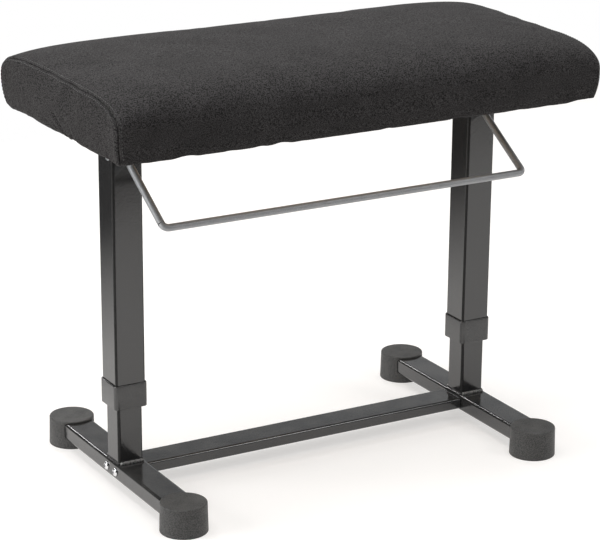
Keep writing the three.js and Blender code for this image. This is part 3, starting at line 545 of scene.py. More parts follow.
button = unit_head("button_head", 0.46, 6, 0.8)
cross = unit_head("cross_head", 0.42, 0, 0.5)
for side, sign in sides.items():
    names = [f"beam_bolt_{end}_{side}" for end in ("front", "rear")]
    boxes = [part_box(name) for name in names]
    bolt_head = 0.00275
    near, far = sorted((abs(boxes[0][0].x), abs(boxes[0][1].x)))
    face = far - bolt_head
    places = [(sign * face, (b[0].y + b[1].y) / 2, (b[0].z + b[1].z) / 2) for b in boxes]
    turns = [(-sign * math.pi / 2, spin) for spin in (0.3, 0.8)]
    drive_in(f"beam_bolts_{side}", names, "base", places, turns, button,
             (0.00475, bolt_head, 0.0025, face - near), bright_steel, "bright_steel")
    for row, names, body_name, spin, step, head_radius, head_height, shank_radius in (
            ("foot_screws", [f"foot_screw_{end}_{side}" for end in ("front", "rear")], "base",
             0.4, 0.7, 0.004, 0.002, 0.002),
            ("board_screws", [f"bracket_screw_{side}_{i}" for i in range(1, 5)], "lift",
             0.2, 0.35, 0.0045, 0.0026, 0.0022)):
        boxes = [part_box(name) for name in names]
        places = [((b[0].x + b[1].x) / 2, (b[0].y + b[1].y) / 2, b[0].z + head_height) for b in boxes]
        sizes = (head_radius, head_height, shank_radius, boxes[0][1].z - boxes[0][0].z - head_height)
        drive_in(f"{row}_{side}", names, body_name, places, [(0, spin + step * i) for i in range(len(names))],
                 cross, sizes, zinc_steel, "zinc_steel")
for head_piece in (button, cross):
    bpy.data.objects.remove(head_piece)


# Lower posts, the inner columns
# Square tube, 30 mm, with a fillet weld all round where it stands on the rail. The welder's ripples
# show under the coat.
def new_row(name, **inputs):
    """A maker that sets its pieces one after another along a path, with the turns that follow it."""
    tree, given, spots = new_maker(name, Pitch="Float", **inputs)
    path = add_node(tree, "GeometryNodeMeshToCurve", ("Mesh", given, "Geometry"))
    spaced = add_node(tree, "GeometryNodeResampleCurve", ("Curve", path, "Curve"), ("Length", given, "Pitch"),
                      mode="LENGTH")
    tangent = add_node(tree, "GeometryNodeInputTangent")
    turned = add_node(tree, "FunctionNodeAlignRotationToVector", ("Vector", tangent, "Tangent"), axis="X")
    fill(spots, ("Points", spaced, "Curve"))
    return tree, given, spots, turned


def bead_row(name, length, width, segments, rings, **inputs):
    """A row of small round-ended beads, such as weld ripples or stitches."""
    tree, given, spots, turned = new_row(name, **{length: "Float", width: "Float"}, **inputs)
    bead = add_node(tree, "GeometryNodeMeshUVSphere", ("Segments", segments), ("Rings", rings), ("Radius", 0.5))
    size = add_node(tree, "ShaderNodeCombineXYZ", *((axis, given, label.replace("_", " "))
                                                    for axis, label in zip("XYZ", (length, width, width))))
    sized = add_node(tree, "GeometryNodeTransform", ("Geometry", bead, "Mesh"), ("Scale", size, "Vector"))
    fill(spots, ("Instance", sized, "Geometry"), ("Rotation", turned, "Rotation"))
    return tree, given, spots


ripples, given, spots = bead_row("weld_ripples", "Thickness", "Width", 14, 8, Unevenness="Float")
least = add_node(ripples, "ShaderNodeMath", (0, 1), (1, given, "Unevenness"), operation="SUBTRACT")
uneven = add_node(ripples, "FunctionNodeRandomValue", (2, least, 0), (3, 1), ("Seed", 7), data_type="FLOAT")
fill(spots, ("Scale", uneven, 1))

mark = ("weld scale and painted highlight", 700, 2, 0.35, 0.65)
# the black coat on the fillets is painted light grey: a painted highlight of the overhead softbox on the weld,
# with specks of weld scale
weld_coat_painted_highlight = grained_finish("powder_coat_on_weld", ((0.1, 0.098, 0.096), (0.25, 0.246, 0.24)), mark,
                           (0.2, 0.35), mark, IOR=1.7)
# the corner coat is painted darker than the powder coat: painted shade for the dark line that the tube corners
# mirror, on top of the coat running thin there
corner_speckle = ("corner specks", 900, 1, 0.35, 0.65)
thin_coat_painted_shade = grained_finish("powder_coat_on_corner", ((0.008, 0.008, 0.008), (0.022, 0.0218, 0.0214)), corner_speckle,
                           (0.15, 0.25), corner_speckle, IOR=1.25)


def thin_corners_painted_shade(tube, centre, half, corner):
    """The coat runs thin and dull on the corners of a tube, and is painted darker there as painted shade for
    the dark line the corners mirror.
    """
    tube.data.materials.append(thin_coat_painted_shade)
    for face in tube.data.polygons:
        off = face.center - centre
        if min(abs(off.x), abs(off.y)) > half - 0.75 * corner:
            face.material_index = 1


def path_mesh(points, closed=True):
    start = bpy.data.meshes.new("path")
    last = len(points) if closed else len(points) - 1
    start.from_pydata([tuple(p) for p in points], [(i, (i + 1) % len(points)) for i in range(last)], [])
    return start


def ring_weld(name, centre, half, corner, height, width, body_name):
    loop = [centre + Vector((p.x, p.y, height)) for p in rounded_loop(half, half, corner)]
    weld = laid_out(name, ripples, path_mesh(loop), Pitch=0.0011, Width=width, Thickness=0.0015,
                    Unevenness=0.25, Finish=powder_coat)
    dress(weld, powder_coat, "powder_coat", body_name)


def square_box(name):
    """A node's box, the middle of its plan and half its width."""
    low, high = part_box(name)
    return low, high, Vector(((low.x + high.x) / 2, (low.y + high.y) / 2, 0)), (high.x - low.x) / 2


post_corner = 0.003
for side in sides:
    low, high, centre, wide = square_box(f"lower_post_{side}")
    half = wide - 0.002
    flare = ((wide - 0.0002, 0.0046, 0.0003), (half + 0.0007, 0.0037, 0.0009), (half + 0.0002, 0.0032, 0.0016),
             (half, post_corner, 0.0022), (half, post_corner, 0.0026))
    rings = [(out, out, corner, low.z + rise) for out, corner, rise in flare]
    rings += tube_rings(half, half, post_corner, low.z, high.z)[1:7]
    rings.append((wide - 0.0003, wide - 0.0003, 0.0045, low.z))
    post = swept_ring(f"lower_post_tube_{side}", rings, Matrix.Translation(centre))
    dress(post, powder_coat, "powder_coat", "base", f"lower_post_{side}")
    thin_corners_painted_shade(post, centre, half, post_corner)
    ring_weld(f"rail_weld_{side}", centre, half + 0.0007, 0.0036, low.z + 0.0009, 0.0022, "base")
    for end, way in (("front", -1), ("rear", 1)):
        run = [centre + Vector((x, way * (half + 0.0014), low.z + 0.0008)) for x in (-0.0125, 0.0135)]
        # the front and rear fillets take the weld coat with its painted highlight
        fillet = laid_out(f"rail_fillet_{end}_{side}", ripples, path_mesh(run, closed=False), Pitch=0.0013,
                          Width=0.0046, Thickness=0.003, Unevenness=0.15, Finish=weld_coat_painted_highlight)
        dress(fillet, weld_coat_painted_highlight, "powder_coat", "base")

# Gas springs and slide bushes, inside the columns
# A bolt holds each pressure tube on its spacer, a nut holds the piston rod under the cross plate, and
# a moulded bush on top of the inner column guides the outer one.
skin = ("moulded skin", 1500, 1, 0.35, 0.65)
dark_plastic = grained_finish("satin_black_plastic", ((0.019, 0.019, 0.0195), (0.031, 0.0305, 0.03)), skin,
                              (0.17, 0.26), ("cloudiness", 90, 3, 0.3, 0.7), ((skin, 0.00005, 0.5),),
                              ((0.11, 0.107, 0.1), 0.3, 55), IOR=1.66)
for side in sides:
    refinish(dark_plastic, f"guide_plug_{side}", f"cylinder_spacer_{side}")
    refinish(powder_coat, f"gas_cylinder_{side}", f"rod_plate_{side}")
    refinish(bright_steel, f"gas_rod_{side}", f"valve_pin_{side}")
    refinish(zinc_steel, f"cylinder_bolt_{side}", f"rod_nut_{side}")

# Upper posts, the outer columns
# Square tube, 36 mm, that slides down over the inner column. A slot in the front lets the release
# bar's lever in, a cross hole takes the lever's axle, and a weld joins the top to the bracket.
slot_height, axle_hole, pivot = 0.38005, 0.0033, Vector((0, -0.01, 0.3834))
slot = (0.005, 0.0073, 0.0045)
for side in sides:
    low, high, centre, wide = square_box(f"upper_post_{side}")
    half = wide - 0.0016
    flare = ((half, post_corner, 0.0022), (half, post_corner, 0.0018), (half + 0.0003, 0.0033, 0.0012),
             (half + 0.0009, 0.0039, 0.0006), (wide - 0.0002, 0.0044, 0.0002), (wide - 0.0004, 0.0042, 0))
    rings = tube_rings(half, half, post_corner, low.z, high.z)
    rings[1:3] = [(out, out, corner, high.z - fall) for out, corner, fall in flare]
    post = swept_ring(f"upper_post_tube_{side}", rings, Matrix.Translation(centre))
    opening = prism("tool", rounded_loop(*slot), 0.006,
                    Matrix.Translation((centre.x, centre.y - half + 0.003, slot_height))
                    @ Matrix.Rotation(math.pi / 2, 4, "X"))
    axle = bore(axle_hole, (centre.x, pivot.y, pivot.z), 0.03, x_axis)
    dress(carve(post, [opening, axle]), powder_coat, "powder_coat", "lift", f"upper_post_{side}")
    thin_corners_painted_shade(post, centre, half, post_corner)
    ring_weld(f"bracket_weld_{side}", centre, half + 0.0005, 0.0034, high.z - 0.0008, 0.002, "lift")

# Guide collars
# Satin black mouldings pressed on the lower ends of the outer columns. A lip closes the gap under the
# steel, and a thin skirt runs on the inner column.
for side in sides:
    low, high, centre, half = square_box(f"collar_{side}")
    lip = ((0.001, 0), (0.0004, 0.0002), (0.0001, 0.0006), (0, 0.0011))
    outer = [(half - inset, 0.0048 - inset, low.z + rise) for inset, rise in lip]
    outer += [(half - inset, 0.0048 - inset, high.z - fall) for inset, fall in reversed(lip)]
    inner = ((0.0184, 0.0034, high.z), (0.0183, 0.0033, high.z - 0.0002), (0.0183, 0.0033, low.z + 0.0027),
             (0.01615, 0.00115, low.z + 0.0027), (0.01615, 0.00115, high.z - 0.0025),
             (0.0153, post_corner, high.z - 0.0025), (0.0153, post_corner, low.z + 0.0002),
             (0.0155, 0.0032, low.z))
    rings = [(out, out, corner, height) for out, corner, height in (*outer, *inner)]
    collar = swept_ring(f"guide_collar_{side}", rings, Matrix.Translation(centre))
    dress(collar, dark_plastic, "dark_plastic", "lift", f"collar_{side}")

# Release bar with its axles and clips
# One 8 mm rod bent into a U, coated satin grey. Each end is flattened into a blade with an eye, turns
# on an axle across the column, and ends in a nose over the gas spring's valve.
grit = ("fine grit", 2200, 1, 0.35, 0.65)
rod_coat = grained_finish("satin_grey_coat", ((0.262, 0.267, 0.274), (0.37, 0.378, 0.389)), grit, (0.48, 0.6),
                          ("handling marks", 130, 3, 0.3, 0.7), ((grit, 0.00004, 0.5),), IOR=1.5, Metallic=0.5)


def skin_rings(mesh, rings):
    """Walls between rings one after another, and a cap on both ends."""
    for low, high in zip(rings, rings[1:]):
        add_wall(mesh, low, high)
    mesh.faces.new(rings[0])
    mesh.faces.new(rings[-1])


rod_radius, bend, reach, drop, arm_x, around = 0.004, 0.0065, 0.0936, 0.0574, 0.225, 24
arm_length = math.hypot(reach, drop)
arm_slope = math.atan2(drop, reach)
up_arm = Vector((0, math.cos(arm_slope), math.sin(arm_slope)))
off_arm = Vector((0, -math.sin(arm_slope), math.cos(arm_slope)))
corner_foot = pivot - up_arm * arm_length
stations = []
for flat_share, back in ((1.0, 0.0065), (0.9, 0.011), (0.45, 0.017), (0, 0.023), (0, 0.06)):
    stations.append((arm_x, arm_length - back, 90, flat_share))
for i in range(13):
    angle = 90 - 90 * i / 12
    stations.append((arm_x - bend + bend * math.sin(math.radians(angle)),
                     bend - bend * math.cos(math.radians(angle)), angle, 0))
stations += [(x, 0, 0, 0) for x in (0.16, 0.08, 0)]
stations += [(-x, y, 180 - a, f) for x, y, a, f in reversed(stations[:-1])]
mesh = bmesh.new()
rings = []
for x, y, angle, flat_share in stations:
    tangent = Vector((-math.cos(math.radians(angle)), 0, 0)) - up_arm * math.sin(math.radians(angle))
    if angle > 90:
        tangent = Vector((math.cos(math.radians(angle)), 0, 0)) + up_arm * math.sin(math.radians(angle))
    across = tangent.cross(off_arm)
    middle = corner_foot + Vector((x, 0, 0)) + up_arm * y
    thin = rod_radius + (0.0025 - rod_radius) * flat_share
    tall = rod_radius + (0.005 - rod_radius) * flat_share
    rings.append([mesh.verts.new(middle + across * thin * math.cos(2 * math.pi * k / around)
                                 + off_arm * tall * math.sin(2 * math.pi * k / around)) for k in range(around)])
skin_rings(mesh, rings)
bar = finish_piece("release_bar_rod", mesh)
blade_outline = [(0.0065 * math.cos(math.radians(a)), 0.0065 * math.sin(math.radians(a)))
                 for a in range(70, 315, 7)]
blade_outline += [(0.0125, -0.003), (0.0138, -0.0016), (0.0138, 0.0015), (0.0128, 0.0021)]
for x in (-arm_x, arm_x):
    lay_flat = Matrix(((0, 0, 1, x - 0.0025), (1, 0, 0, pivot.y), (0, 1, 0, pivot.z), (0, 0, 0, 1)))
    blade = prism("blade", blade_outline, 0.005, lay_flat)
    carve(blade, [bore(axle_hole, (x, pivot.y, pivot.z), 0.01, x_axis)])
    joined = bmesh.new()
    joined.from_mesh(bar.data)
    joined.from_mesh(blade.data)
    joined.to_mesh(bar.data)
    joined.free()
    bpy.data.objects.remove(blade)
bar.data.shade_smooth()
bar.data.set_sharp_from_angle(angle=math.radians(32))
dress(bar, rod_coat, "rod_coat", "release_bar", "release_bar")

for side, sign in sides.items():
    low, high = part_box(f"lever_pin_{side}")
    length = high.x - low.x
    outline = [(0, 0), (0.0036, 0), (0.0046, 0.0003), (0.005, 0.0009), (0.005, 0.0018), (0.0048, 0.002),
               (0.003, 0.002), (0.003, length - 0.0005), (0.0025, length), (0, length)]
    place = Matrix.Translation((sign * max(abs(low.x), abs(high.x)), pivot.y, pivot.z)) \
        @ Matrix.Rotation(-sign * math.pi / 2, 4, "Y")
    axle = turned_piece(f"lever_axle_{side}", outline, place, 32)
    dress(axle, zinc_steel, "zinc_steel", "lift", f"lever_pin_{side}")
    low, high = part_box(f"lever_clip_{side}")
    outline = [(0, 0), (0.0052, 0), (0.0055, 0.0002), (0.0055, 0.0008), (0.0052, 0.001), (0, 0.001)]
    place = Matrix.Translation((low.x, pivot.y, pivot.z)) @ Matrix.Rotation(math.pi / 2, 4, "Y")
    clip = turned_piece(f"push_clip_{side}", outline, place, 40)
    teeth = bore(0.00315, ((low.x + high.x) / 2, pivot.y, pivot.z), 0.01 + (high.x - low.x) / 2, x_axis)
    dress(carve(clip, [teeth]), zinc_steel, "zinc_steel", "lift", f"lever_clip_{side}")

# Brackets under the seat
# Pressed steel channels, 3 mm thick with two turned-down flanges, welded on the columns and screwed
# to the board. Powder coated black like the tubes.
hole_x, hole_y, hole_radius = 0.02, 0.09, 0.0026
for side in sides:
    low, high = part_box(f"seat_bracket_{side}")
    centre_x, half = (low.x + high.x) / 2, (high.x - low.x) / 2
    sheet, outer, inner, flange, ease = 0.003, 0.002, 0.0008, high.z - low.z, 0.0004
    turns = [math.radians(a) for a in range(0, 91, 15)]
    outline = [(half, -flange + ease)]
    outline += [(half - outer + outer * math.cos(t), -outer + outer * math.sin(t)) for t in turns]
    outline += [(-x, y) for x, y in reversed(outline)]
    outline += [(-half + ease, -flange), (-half + sheet - ease, -flange), (-half + sheet, -flange + ease)]
    hollow = [(-half + sheet + inner - inner * math.cos(t), -sheet - inner + inner * math.sin(t))
              for t in turns]
    outline += hollow + [(-x, y) for x, y in reversed(hollow)]
    outline += [(half - sheet, -flange + ease), (half - sheet + ease, -flange), (half - ease, -flange)]
    bracket = prism(f"seat_channel_{side}", outline, high.y - low.y,
                    Matrix.Translation((centre_x, high.y, high.z)) @ Matrix.Rotation(math.pi / 2, 4, "X"))
    tools = [bore(hole_radius, (centre_x + x, y, high.z), 0.01, sides=24)
             for x in (-hole_x, hole_x) for y in (-hole_y, hole_y)]
    dress(carve(bracket, tools), powder_coat, "powder_coat", "lift", f"seat_bracket_{side}")

# Seat board
# A sheet of 12 mm birch plywood with round corners. Its pale face shows inside the hem from below.
plywood, shader = new_finish("birch_plywood", Roughness=0.6)
place = add_node(plywood.node_tree, "ShaderNodeTexCoord")
stretch = add_node(plywood.node_tree, "ShaderNodeMapping", ("Vector", place, "Object"), ("Scale", (4, 60, 60)))
figure = add_node(plywood.node_tree, "ShaderNodeTexNoise", ("Vector", stretch, "Vector"), ("Scale", 3),
                  ("Detail", 6), ("Distortion", 0.6))
pores = add_effect(plywood, grain, "pores", 900, 2, 0.3, 0.6)
body = add_mix(plywood, (0.42, 0.27, 0.14), (0.6, 0.43, 0.25), figure, "Fac")
fill(shader, ("Base Color", add_mix(plywood, (0.33, 0.21, 0.11), body, pores), 2),
     ("Normal", add_bump(plywood, figure, 0.0003, 0.3, output="Fac"), "Normal"))
refinish(plywood, "seat_board")

# Seat cushion
# Foam 60 mm thick on the board, under a cover of thick black woolly felt sewn from one long panel over
# the front, top and back and a panel at each end. The cover is pulled tight and stapled underneath.
felt, shader = new_finish("black_wool_felt", Roughness=0.95, Sheen_Weight=0.04, Sheen_Roughness=0.5, IOR=1.4,
                          Specular_IOR_Level=0.2, Sheen_Tint=(0.9, 0.87, 0.84, 1))
fibre = add_effect(felt, grain, "fibre specks", 1100, 0, 0.36, 0.62, 0.45)
tuft = add_effect(felt, grain, "tufts", 420, 2, 0.3, 0.7, 0.6)
patchy = add_effect(felt, grain, "brushed patches", 26, 3, 0.3, 0.7)
deep = add_mix(felt, (0.0055, 0.0052, 0.0052), (0.0405, 0.0384, 0.0388), fibre)
pale = add_mix(felt, (0.009, 0.0085, 0.0086), (0.0475, 0.045, 0.0455), fibre)
worn = add_mix(felt, (0.85, 0.85, 0.85), (1.1, 1.1, 1.1), patchy)
tone = add_node(felt.node_tree, "ShaderNodeMix", (0, 1), (6, add_mix(felt, deep, pale, tuft), 2), (7, worn, 2),
                data_type="RGBA", blend_type="MULTIPLY")
tufts_up = add_bump(felt, tuft, 0.0004, 0.15)
fill(shader, ("Base Color", tone, 2), ("Normal", add_bump(felt, fibre, 0.0003, 0.35, tufts_up), "Normal"))

pad_low, pad_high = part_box("seat_cushion")
base = pad_low.z
pad_rise, waist, drawn_in, pad_corner = pad_high.z - pad_low.z, 0.0302, 0.0045, 0.008
end_bulge, end_drop, top_lean, hem_depth, under_edge = 0.0025, 0.011, 0.0015, 0.0034, 0.0035
pad_half_length, pad_half_depth = pad_high.x - end_bulge, pad_high.y
square_round, end_sharpness, edge_roll = 3.4, 10, 0.0035
mesh_step = 0.0048
fold_share, swell_share, most_move = 0.2, 0.06, 0.004
pad_offset = -0.0019


def resample(points, step):
    lengths = [0]
    for a, b in zip(points, points[1:]):
        lengths.append(lengths[-1] + math.dist(a, b))
    count = max(2, round(lengths[-1] / step))
    result = []
    for i in range(count + 1):
        want = lengths[-1] * i / count
        k = min(max(j for j in range(len(lengths)) if lengths[j] <= want + 1e-12), len(points) - 2)
        part = (want - lengths[k]) / max(lengths[k + 1] - lengths[k], 1e-12)
        result.append(tuple(a + (b - a) * part for a, b in zip(points[k], points[k + 1])))
    return result


def lower_pull(height):
    return drawn_in * max(0, (waist - height) / waist) ** 2


# rows of the section up to the waist as (pull inwards, height), then (share of the depth, share of the rise)
under_rows = [(lower_pull(under_edge) + under_edge * (1 - math.cos(math.radians(a))),
               under_edge - under_edge * math.sin(math.radians(a))) for a in (90, 60, 30, 0)]
side_rows = [(lower_pull(z), z) for z in np.linspace(under_edge, waist, 7)[1:-1]]
quarter = [math.pi / 2 * k / 400 for k in range(401)]
upper_curve = resample([(pad_half_depth * math.cos(t) ** (2 / square_round),
                         (pad_rise - waist) * math.sin(t) ** (2 / square_round)) for t in quarter], mesh_step)
bend_row = min(range(1, len(upper_curve) - 1),
               key=lambda k: abs((upper_curve[k + 1][1] - upper_curve[k - 1][1])
                                 - (upper_curve[k - 1][0] - upper_curve[k + 1][0])))
section = [(pull, 1.0, height, 0.0) for pull, height in under_rows + side_rows]
section += [(0.0, out / pad_half_depth, waist, up / (pad_rise - waist)) for out, up in upper_curve]
corner_row = len(under_rows) + len(side_rows) + bend_row
section_count = 2 * len(section) - 1

straight = pad_half_length - pad_corner
flat_count = round(2 * straight / mesh_step)
spans = [(straight * (2 * i / flat_count - 1), 0) for i in range(flat_count + 1)]
turns = (10, 20, 29, 37, 42, 45, 48, 53, 61, 70, 80, 90)
spans = [(-straight, -a) for a in reversed(turns)] + spans + [(straight, a) for a in turns]
seam_angle = 45


def pad_place(span, entry, way):
    """Place on the cover for a station along the seat and a row of its section."""
    x, angle = span
    turn = math.radians(abs(angle))
    x += math.copysign(pad_corner * math.sin(turn), angle) if angle else 0
    pull, share, height, rise = entry
    depth = pad_half_depth - pad_corner * (1 - math.cos(turn))
    top = pad_rise - end_drop * abs(x / pad_half_length) ** end_sharpness - edge_roll * (1 - math.cos(turn))
    z = height + (top - waist) * rise
    above = max(0, (z - waist) / (pad_rise - waist))
    along = x * (pad_half_length - pull - top_lean * above ** 2) / pad_half_length
    return Vector((along + pad_offset, way * (depth * share - pull), base + z))


rows = [(entry, -1) for entry in section] + [(entry, 1) for entry in reversed(section[:-1])]
points, faces = [], []
cover = np.empty((len(spans), len(rows)), dtype=int)
for i, span in enumerate(spans):
    for j, (entry, way) in enumerate(rows):
        cover[i, j] = len(points)
        points.append(pad_place(span, entry, way))
for i in range(len(spans) - 1):
    for j in range(len(rows) - 1):
        faces.append((cover[i, j], cover[i + 1, j], cover[i + 1, j + 1], cover[i, j + 1]))

top_first, top_last = corner_row, section_count - 1 - corner_row
end_grids = {}
for sign, loop in ((-1, cover[0]), (1, cover[-1])):
    levels, across = corner_row, top_last - top_first
    grid = np.empty((levels + 1, across + 1), dtype=int)
    front = [points[k] for k in loop[:levels + 1]]
    rear = [points[loop[section_count - 1 - k]] for k in range(levels + 1)]
    top = [points[loop[top_first + k]] for k in range(across + 1)]
    for i in range(levels + 1):
        v = i / levels
        for k in range(across + 1):
            u = k / across
            if k == 0:
                grid[i, k] = loop[i]
            elif k == across:
                grid[i, k] = loop[section_count - 1 - i]
            elif i == levels:
                grid[i, k] = loop[top_first + k]
            else:
                bottom_point = front[0].lerp(rear[0], u)
                place = bottom_point * (1 - v) + top[k] * v + front[i] * (1 - u) + rear[i] * u
                place -= front[0] * (1 - u) * (1 - v) + rear[0] * u * (1 - v)
                place -= top[0] * (1 - u) * v + top[-1] * u * v
                place.x += sign * end_bulge * (1 - (2 * u - 1) ** 2) * (1 - v ** 6)
                grid[i, k] = len(points)
                points.append(place)
    for i in range(levels):
        for k in range(across):
            faces.append((grid[i, k], grid[i, k + 1], grid[i + 1, k + 1], grid[i + 1, k]))
    end_grids[sign] = grid

# small tucks where the staples pull the cover under, the same every time
held_rows = {0: 1.0, 1: 0.9, 2: 0.7, 3: 0.45, 4: 0.25}


def tuck(place, strength):
    ripple = noise.noise(Vector((place.x * 38, place.y * 38, 3.1)))
    ripple += 0.6 * noise.noise(Vector((place.x * 95, place.y * 95, 8.4)))
    x, y = place.x / pad_half_length, place.y / pad_half_depth
    outward = Vector((x, 0, 0)) if abs(x) > abs(y) else Vector((0, y, 0))
    lift = max(0, ripple) * 0.0036
    # a fold of cloth hangs under the rear left corner
    if place.x < -0.2:
        lift -= 0.0024 * math.exp(-((place.y - 0.128) / 0.018) ** 2)
    return outward.normalized() * 0.0019 * ripple * strength + Vector((0, 0, lift * strength))


rim = set(cover[:, 0]) | set(cover[:, -1]) | set(end_grids[-1][0]) | set(end_grids[1][0])
for j, strength in held_rows.items():
    row = [*cover[:, j], *cover[:, section_count - 1 - j]]
    for k in row + [k for grid in end_grids.values() for k in grid[j, 1:-1]]:
        points[k] = points[k] + tuck(points[k], strength)


def face_outwards(mesh):
    bmesh.ops.recalc_face_normals(mesh, faces=mesh.faces)
    if sum(face.normal.z * face.calc_area() for face in mesh.faces) < 0:
        bmesh.ops.reverse_faces(mesh, faces=mesh.faces)


# the cover is cut a little small and the foam fills it
stuffed = [p.copy() for p in points]
trial = bpy.data.meshes.new("cover_cut")
trial.from_pydata([tuple(p) for p in points], [], faces)
checker = bmesh.new()
checker.from_mesh(trial)
face_outwards(checker)
checker.to_mesh(trial)
checker.free()
holder = add_object("cover_cut", trial)
held = holder.vertex_groups.new(name="stapled")
held.add([int(k) for k in rim], 1.0, "REPLACE")
cloth = holder.modifiers.new("stuffing", "CLOTH")
cloth.settings.quality = 6
cloth.settings.mass = 0.25
cloth.settings.tension_stiffness = cloth.settings.compression_stiffness = 25
cloth.settings.shear_stiffness = 12
cloth.settings.bending_stiffness = 3
cloth.settings.use_pressure = True
cloth.settings.uniform_pressure_force = 4
cloth.settings.vertex_group_mass = "stapled"
cloth.settings.effector_weights.gravity = 0
cloth.point_cache.frame_start, cloth.point_cache.frame_end = 1, 20
for frame_number in range(1, 21):
    bpy.context.scene.frame_set(frame_number)
swollen = holder.evaluated_get(bpy.context.evaluated_depsgraph_get()).to_mesh()
moved = np.array([vertex.co - points[k] for k, vertex in enumerate(swollen.vertices)])
holder.modifiers.clear()
bpy.data.objects.remove(holder)
bpy.context.scene.frame_set(1)
pairs = np.array([edge.vertices[:] for edge in trial.edges])
bpy.data.meshes.remove(trial)
slow, count = moved.copy(), np.bincount(pairs.ravel(), minlength=len(points))[:, None]
for _ in range(90):
    total = np.zeros_like(slow)
    np.add.at(total, pairs[:, 0], slow[pairs[:, 1]])
    np.add.at(total, pairs[:, 1], slow[pairs[:, 0]])
    slow = 0.5 * slow + 0.5 * total / count
kept = (moved - slow) * fold_share + slow * swell_share
longest = np.linalg.norm(kept, axis=1, keepdims=True)
kept *= np.minimum(1, most_move / np.maximum(longest, 1e-9))
for k in range(len(points)):
    stuffed[k] = points[k] + Vector(kept[k])

# seams: a valley between two soft swells, with small puckers
seam_columns = {i: (abs(spans[i][1]) - seam_angle) for i in range(len(spans)) if spans[i][1]}
shell = bmesh.new()
verts = [shell.verts.new(p) for p in stuffed]
for face in faces:
    shell.faces.new([verts[k] for k in face])
face_outwards(shell)
shell.normal_update()
moves = {}
for i, off in seam_columns.items():
    for j in range(section_count):
        vertex = verts[cover[i, j]]
        pucker = noise.noise(vertex.co * 160)
        if off == 0:
            depth = -0.0018 - 0.0007 * pucker
        elif abs(off) <= 3:
            depth = -0.0005
        else:
            depth = 0.0004 * pucker * math.exp(-abs(off) / 40)
        wander = noise.noise(Vector((0, vertex.co.y * 26, 4.0))) * math.sin(math.radians(abs(spans[i][1])))
        moves[vertex] = vertex.normal * depth + Vector((0.0018, 0, 0.0018)) * wander
for vertex, move in moves.items():
    vertex.co += move
seam_paths = {}
for sign in (-1, 1):
    for label, angle in (("panel", 20), ("end", 70)):
        i = next(n for n, span in enumerate(spans) if span[1] == sign * angle)
        seam_paths[sign, label] = [verts[k].co.copy() for k in cover[i, 4:section_count - 4]]
pad_mesh = bpy.data.meshes.new("seat_pad")
shell.to_mesh(pad_mesh)
shell.free()
pad = add_object("seat_pad", pad_mesh)
soft = pad.modifiers.new("soft", "SUBSURF")
soft.levels = soft.render_levels = 1
apply_all(pad, crease=0)

# the cover turns under the board's edge, and the foam has a recess for the board
shell = bmesh.new()
shell.from_mesh(pad.data)
for vertex in shell.verts:
    slow = noise.noise(vertex.co * 14) + 0.5 * noise.noise(vertex.co * 33 + Vector((5, 2, 9)))
    height = (vertex.co.z - base) / pad_rise
    vertex.co += vertex.normal * 0.0003 * slow * min(1, height * 4)
    # creases that fan up from the edge under the left end
    if vertex.normal.x < -0.6:
        z = vertex.co.z - base
        for foot_y, lean, reach_up, size in ((-0.021, 0.9, 0.028, 0.0046), (-0.0095, 1.6, 0.02, 0.0028),
                                             (0.002, 2.2, 0.016, 0.002), (-0.043, 0.5, 0.02, 0.0022)):
            off = (vertex.co.y - foot_y - lean * z) / (0.0029 * math.hypot(1, lean))
            vertex.co.x += size * max(0, 1 - z / reach_up) ** 0.6 * math.exp(-off * off)
edge_loop = [edge for edge in shell.edges if edge.is_boundary]


def inner_loop(corners, half_x, half_y, corner, z):
    result = []
    for p in corners:
        q = Vector(((p.x - pad_offset) * half_x / pad_half_length, p.y * half_y / pad_half_depth))
        q = Vector((max(-half_x, min(half_x, q.x)), max(-half_y, min(half_y, q.y))))
        if half_x - abs(q.x) < half_y - abs(q.y):
            q.x = math.copysign(half_x, q.x)
        else:
            q.y = math.copysign(half_y, q.y)
        centre = Vector((math.copysign(half_x - corner, q.x), math.copysign(half_y - corner, q.y)))
        if abs(q.x) > half_x - corner and abs(q.y) > half_y - corner:
            q = centre + (q - centre).normalized() * corner
        result.append(Vector((q.x, q.y, z)))
    return result


first_edge = edge_loop[0]
vertex, edge = first_edge.verts[1], first_edge
ordered = [first_edge.verts[0]]
while vertex is not ordered[0]:
    ordered.append(vertex)
    edge = next(e for e in vertex.link_edges if e.is_boundary and e is not edge)
    vertex = edge.other_vert(vertex)
rim_places = [v.co.copy() for v in ordered]
board_x, board_y = 0.2863, 0.1403
hem_x, hem_y = 0.2665, 0.1205
previous = ordered
hem_turn, hem_corner, board_corner, recess = 0.0012, 0.018, 0.0183, 0.016
for half_x, half_y, corner, z in (
        (hem_x + hem_turn, hem_y + hem_turn, hem_corner + hem_turn, 0.0), (hem_x, hem_y, hem_corner, hem_turn),
        (hem_x, hem_y, hem_corner, hem_depth - hem_turn),
        (hem_x + hem_turn, hem_y + hem_turn, hem_corner + hem_turn, hem_depth),
        (board_x, board_y, board_corner, hem_depth), (board_x, board_y, board_corner, recess),
        (board_x * 0.5, board_y * 0.5, 0.01, recess)):
    loop = [shell.verts.new(p) for p in inner_loop(rim_places, half_x, half_y, corner, base + z)]
    add_wall(shell, previous, loop)
    previous = loop
shell.faces.new(previous)
bmesh.ops.recalc_face_normals(shell, faces=shell.faces)
shell.to_mesh(pad.data)
shell.free()
pad.data.shade_smooth()
pad.data.set_sharp_from_angle(angle=math.radians(70))
dress(pad, felt, "fabric", "lift", "seat_cushion")

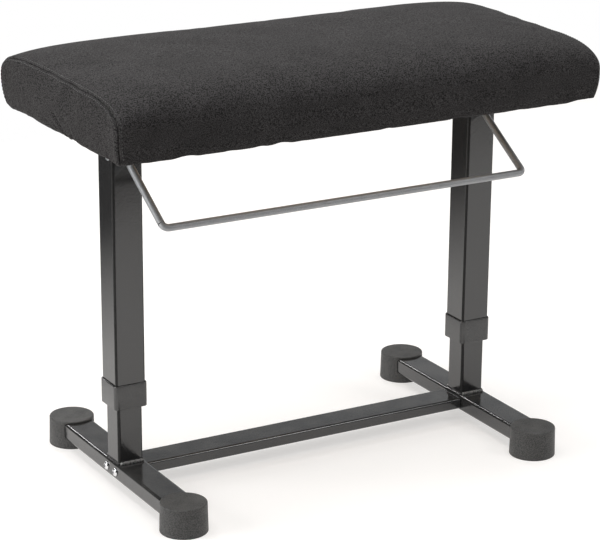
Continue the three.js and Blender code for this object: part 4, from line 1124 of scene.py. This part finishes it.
# Seam stitches
# A row of short stitches in dark grey thread lies on each side of the end seams and holds the turned
# edges down.
thread, shader = new_finish("dark_grey_thread", Roughness=0.7, Sheen_Weight=0.2)
ply = add_effect(thread, grain, "thread plies", 1800, 1, 0.35, 0.65)
fill(shader, ("Base Color", add_mix(thread, (0.01, 0.01, 0.0098), (0.06, 0.0585, 0.0565), ply), 2))
stitches, _, _ = bead_row("seam_stitches", "Stitch_Length", "Thread_Thickness", 6, 6)
skin = bmesh.new()
skin.from_mesh(pad.data)
pad_skin = BVHTree.FromBMesh(skin)
for (sign, label), line in seam_paths.items():
    laid = []
    for p in line:
        spot, normal, _, _ = pad_skin.find_nearest(p)
        laid.append(spot + normal * 0.00005)
    side = "left" if sign < 0 else "right"
    row = laid_out(f"seam_stitches_{side}_{label}", stitches, path_mesh(laid, closed=False), Pitch=0.0042,
                   Stitch_Length=0.0028, Thread_Thickness=0.0006, Finish=thread)
    dress(row, thread, "fabric", "lift")
skin.free()

# Hem staples
# Fine zinc wire staples hold the turned-under hem to the board, about one every 28 mm.
wire = 0.0006
staple_mesh = bmesh.new()
bends = [(-0.005, 0.0012), (-0.005, -0.0001), (-0.0046, -0.0005), (0.0046, -0.0005), (0.005, -0.0001),
         (0.005, 0.0012)]
rings = []
for k, (x, z) in enumerate(bends):
    direction = (Vector(bends[min(k + 1, len(bends) - 1)]) - Vector(bends[max(k - 1, 0)])).normalized()
    normal = Vector((-direction.y, direction.x))
    rings.append([staple_mesh.verts.new((x + normal.x * s * wire / 2, w * wire, z + normal.y * s * wire / 2))
                  for s, w in ((1, 1), (1, -1), (-1, -1), (-1, 1))])
skin_rings(staple_mesh, rings)
staple = finish_piece("staple", staple_mesh)
staple_rows, given, spots, turned = new_row("staple_rows", Staple="Object", Skew="Float")
bent = add_node(staple_rows, "GeometryNodeObjectInfo", ("Object", given, "Staple"))
other_way = add_node(staple_rows, "ShaderNodeMath", (0, given, "Skew"), (1, -1), operation="MULTIPLY")
askew = add_node(staple_rows, "FunctionNodeRandomValue", (2, other_way, 0), (3, given, "Skew"), ("Seed", 11),
                 data_type="FLOAT")
spin = add_node(staple_rows, "ShaderNodeCombineXYZ", ("Z", askew, 1))
skewed = add_node(staple_rows, "FunctionNodeRotateRotation", ("Rotation", turned, "Rotation"),
                  ("Rotate By", spin, "Vector"), rotation_space="LOCAL")
fill(spots, ("Instance", bent, "Geometry"), ("Rotation", skewed, "Rotation"))
loop = [Vector((p.x, p.y, base - 0.0001)) for p in rounded_loop(0.2735, 0.1275, 0.02)]
staples = laid_out("hem_staples", staple_rows, path_mesh(loop), Staple=staple, Pitch=0.028, Skew=0.35,
                   Finish=zinc_steel)
bpy.data.objects.remove(staple)
dress(staples, zinc_steel, "zinc_steel", "lift")

size = {"cad": [list(cad_low), list(cad_high)], "visual": [list(v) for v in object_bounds()]}
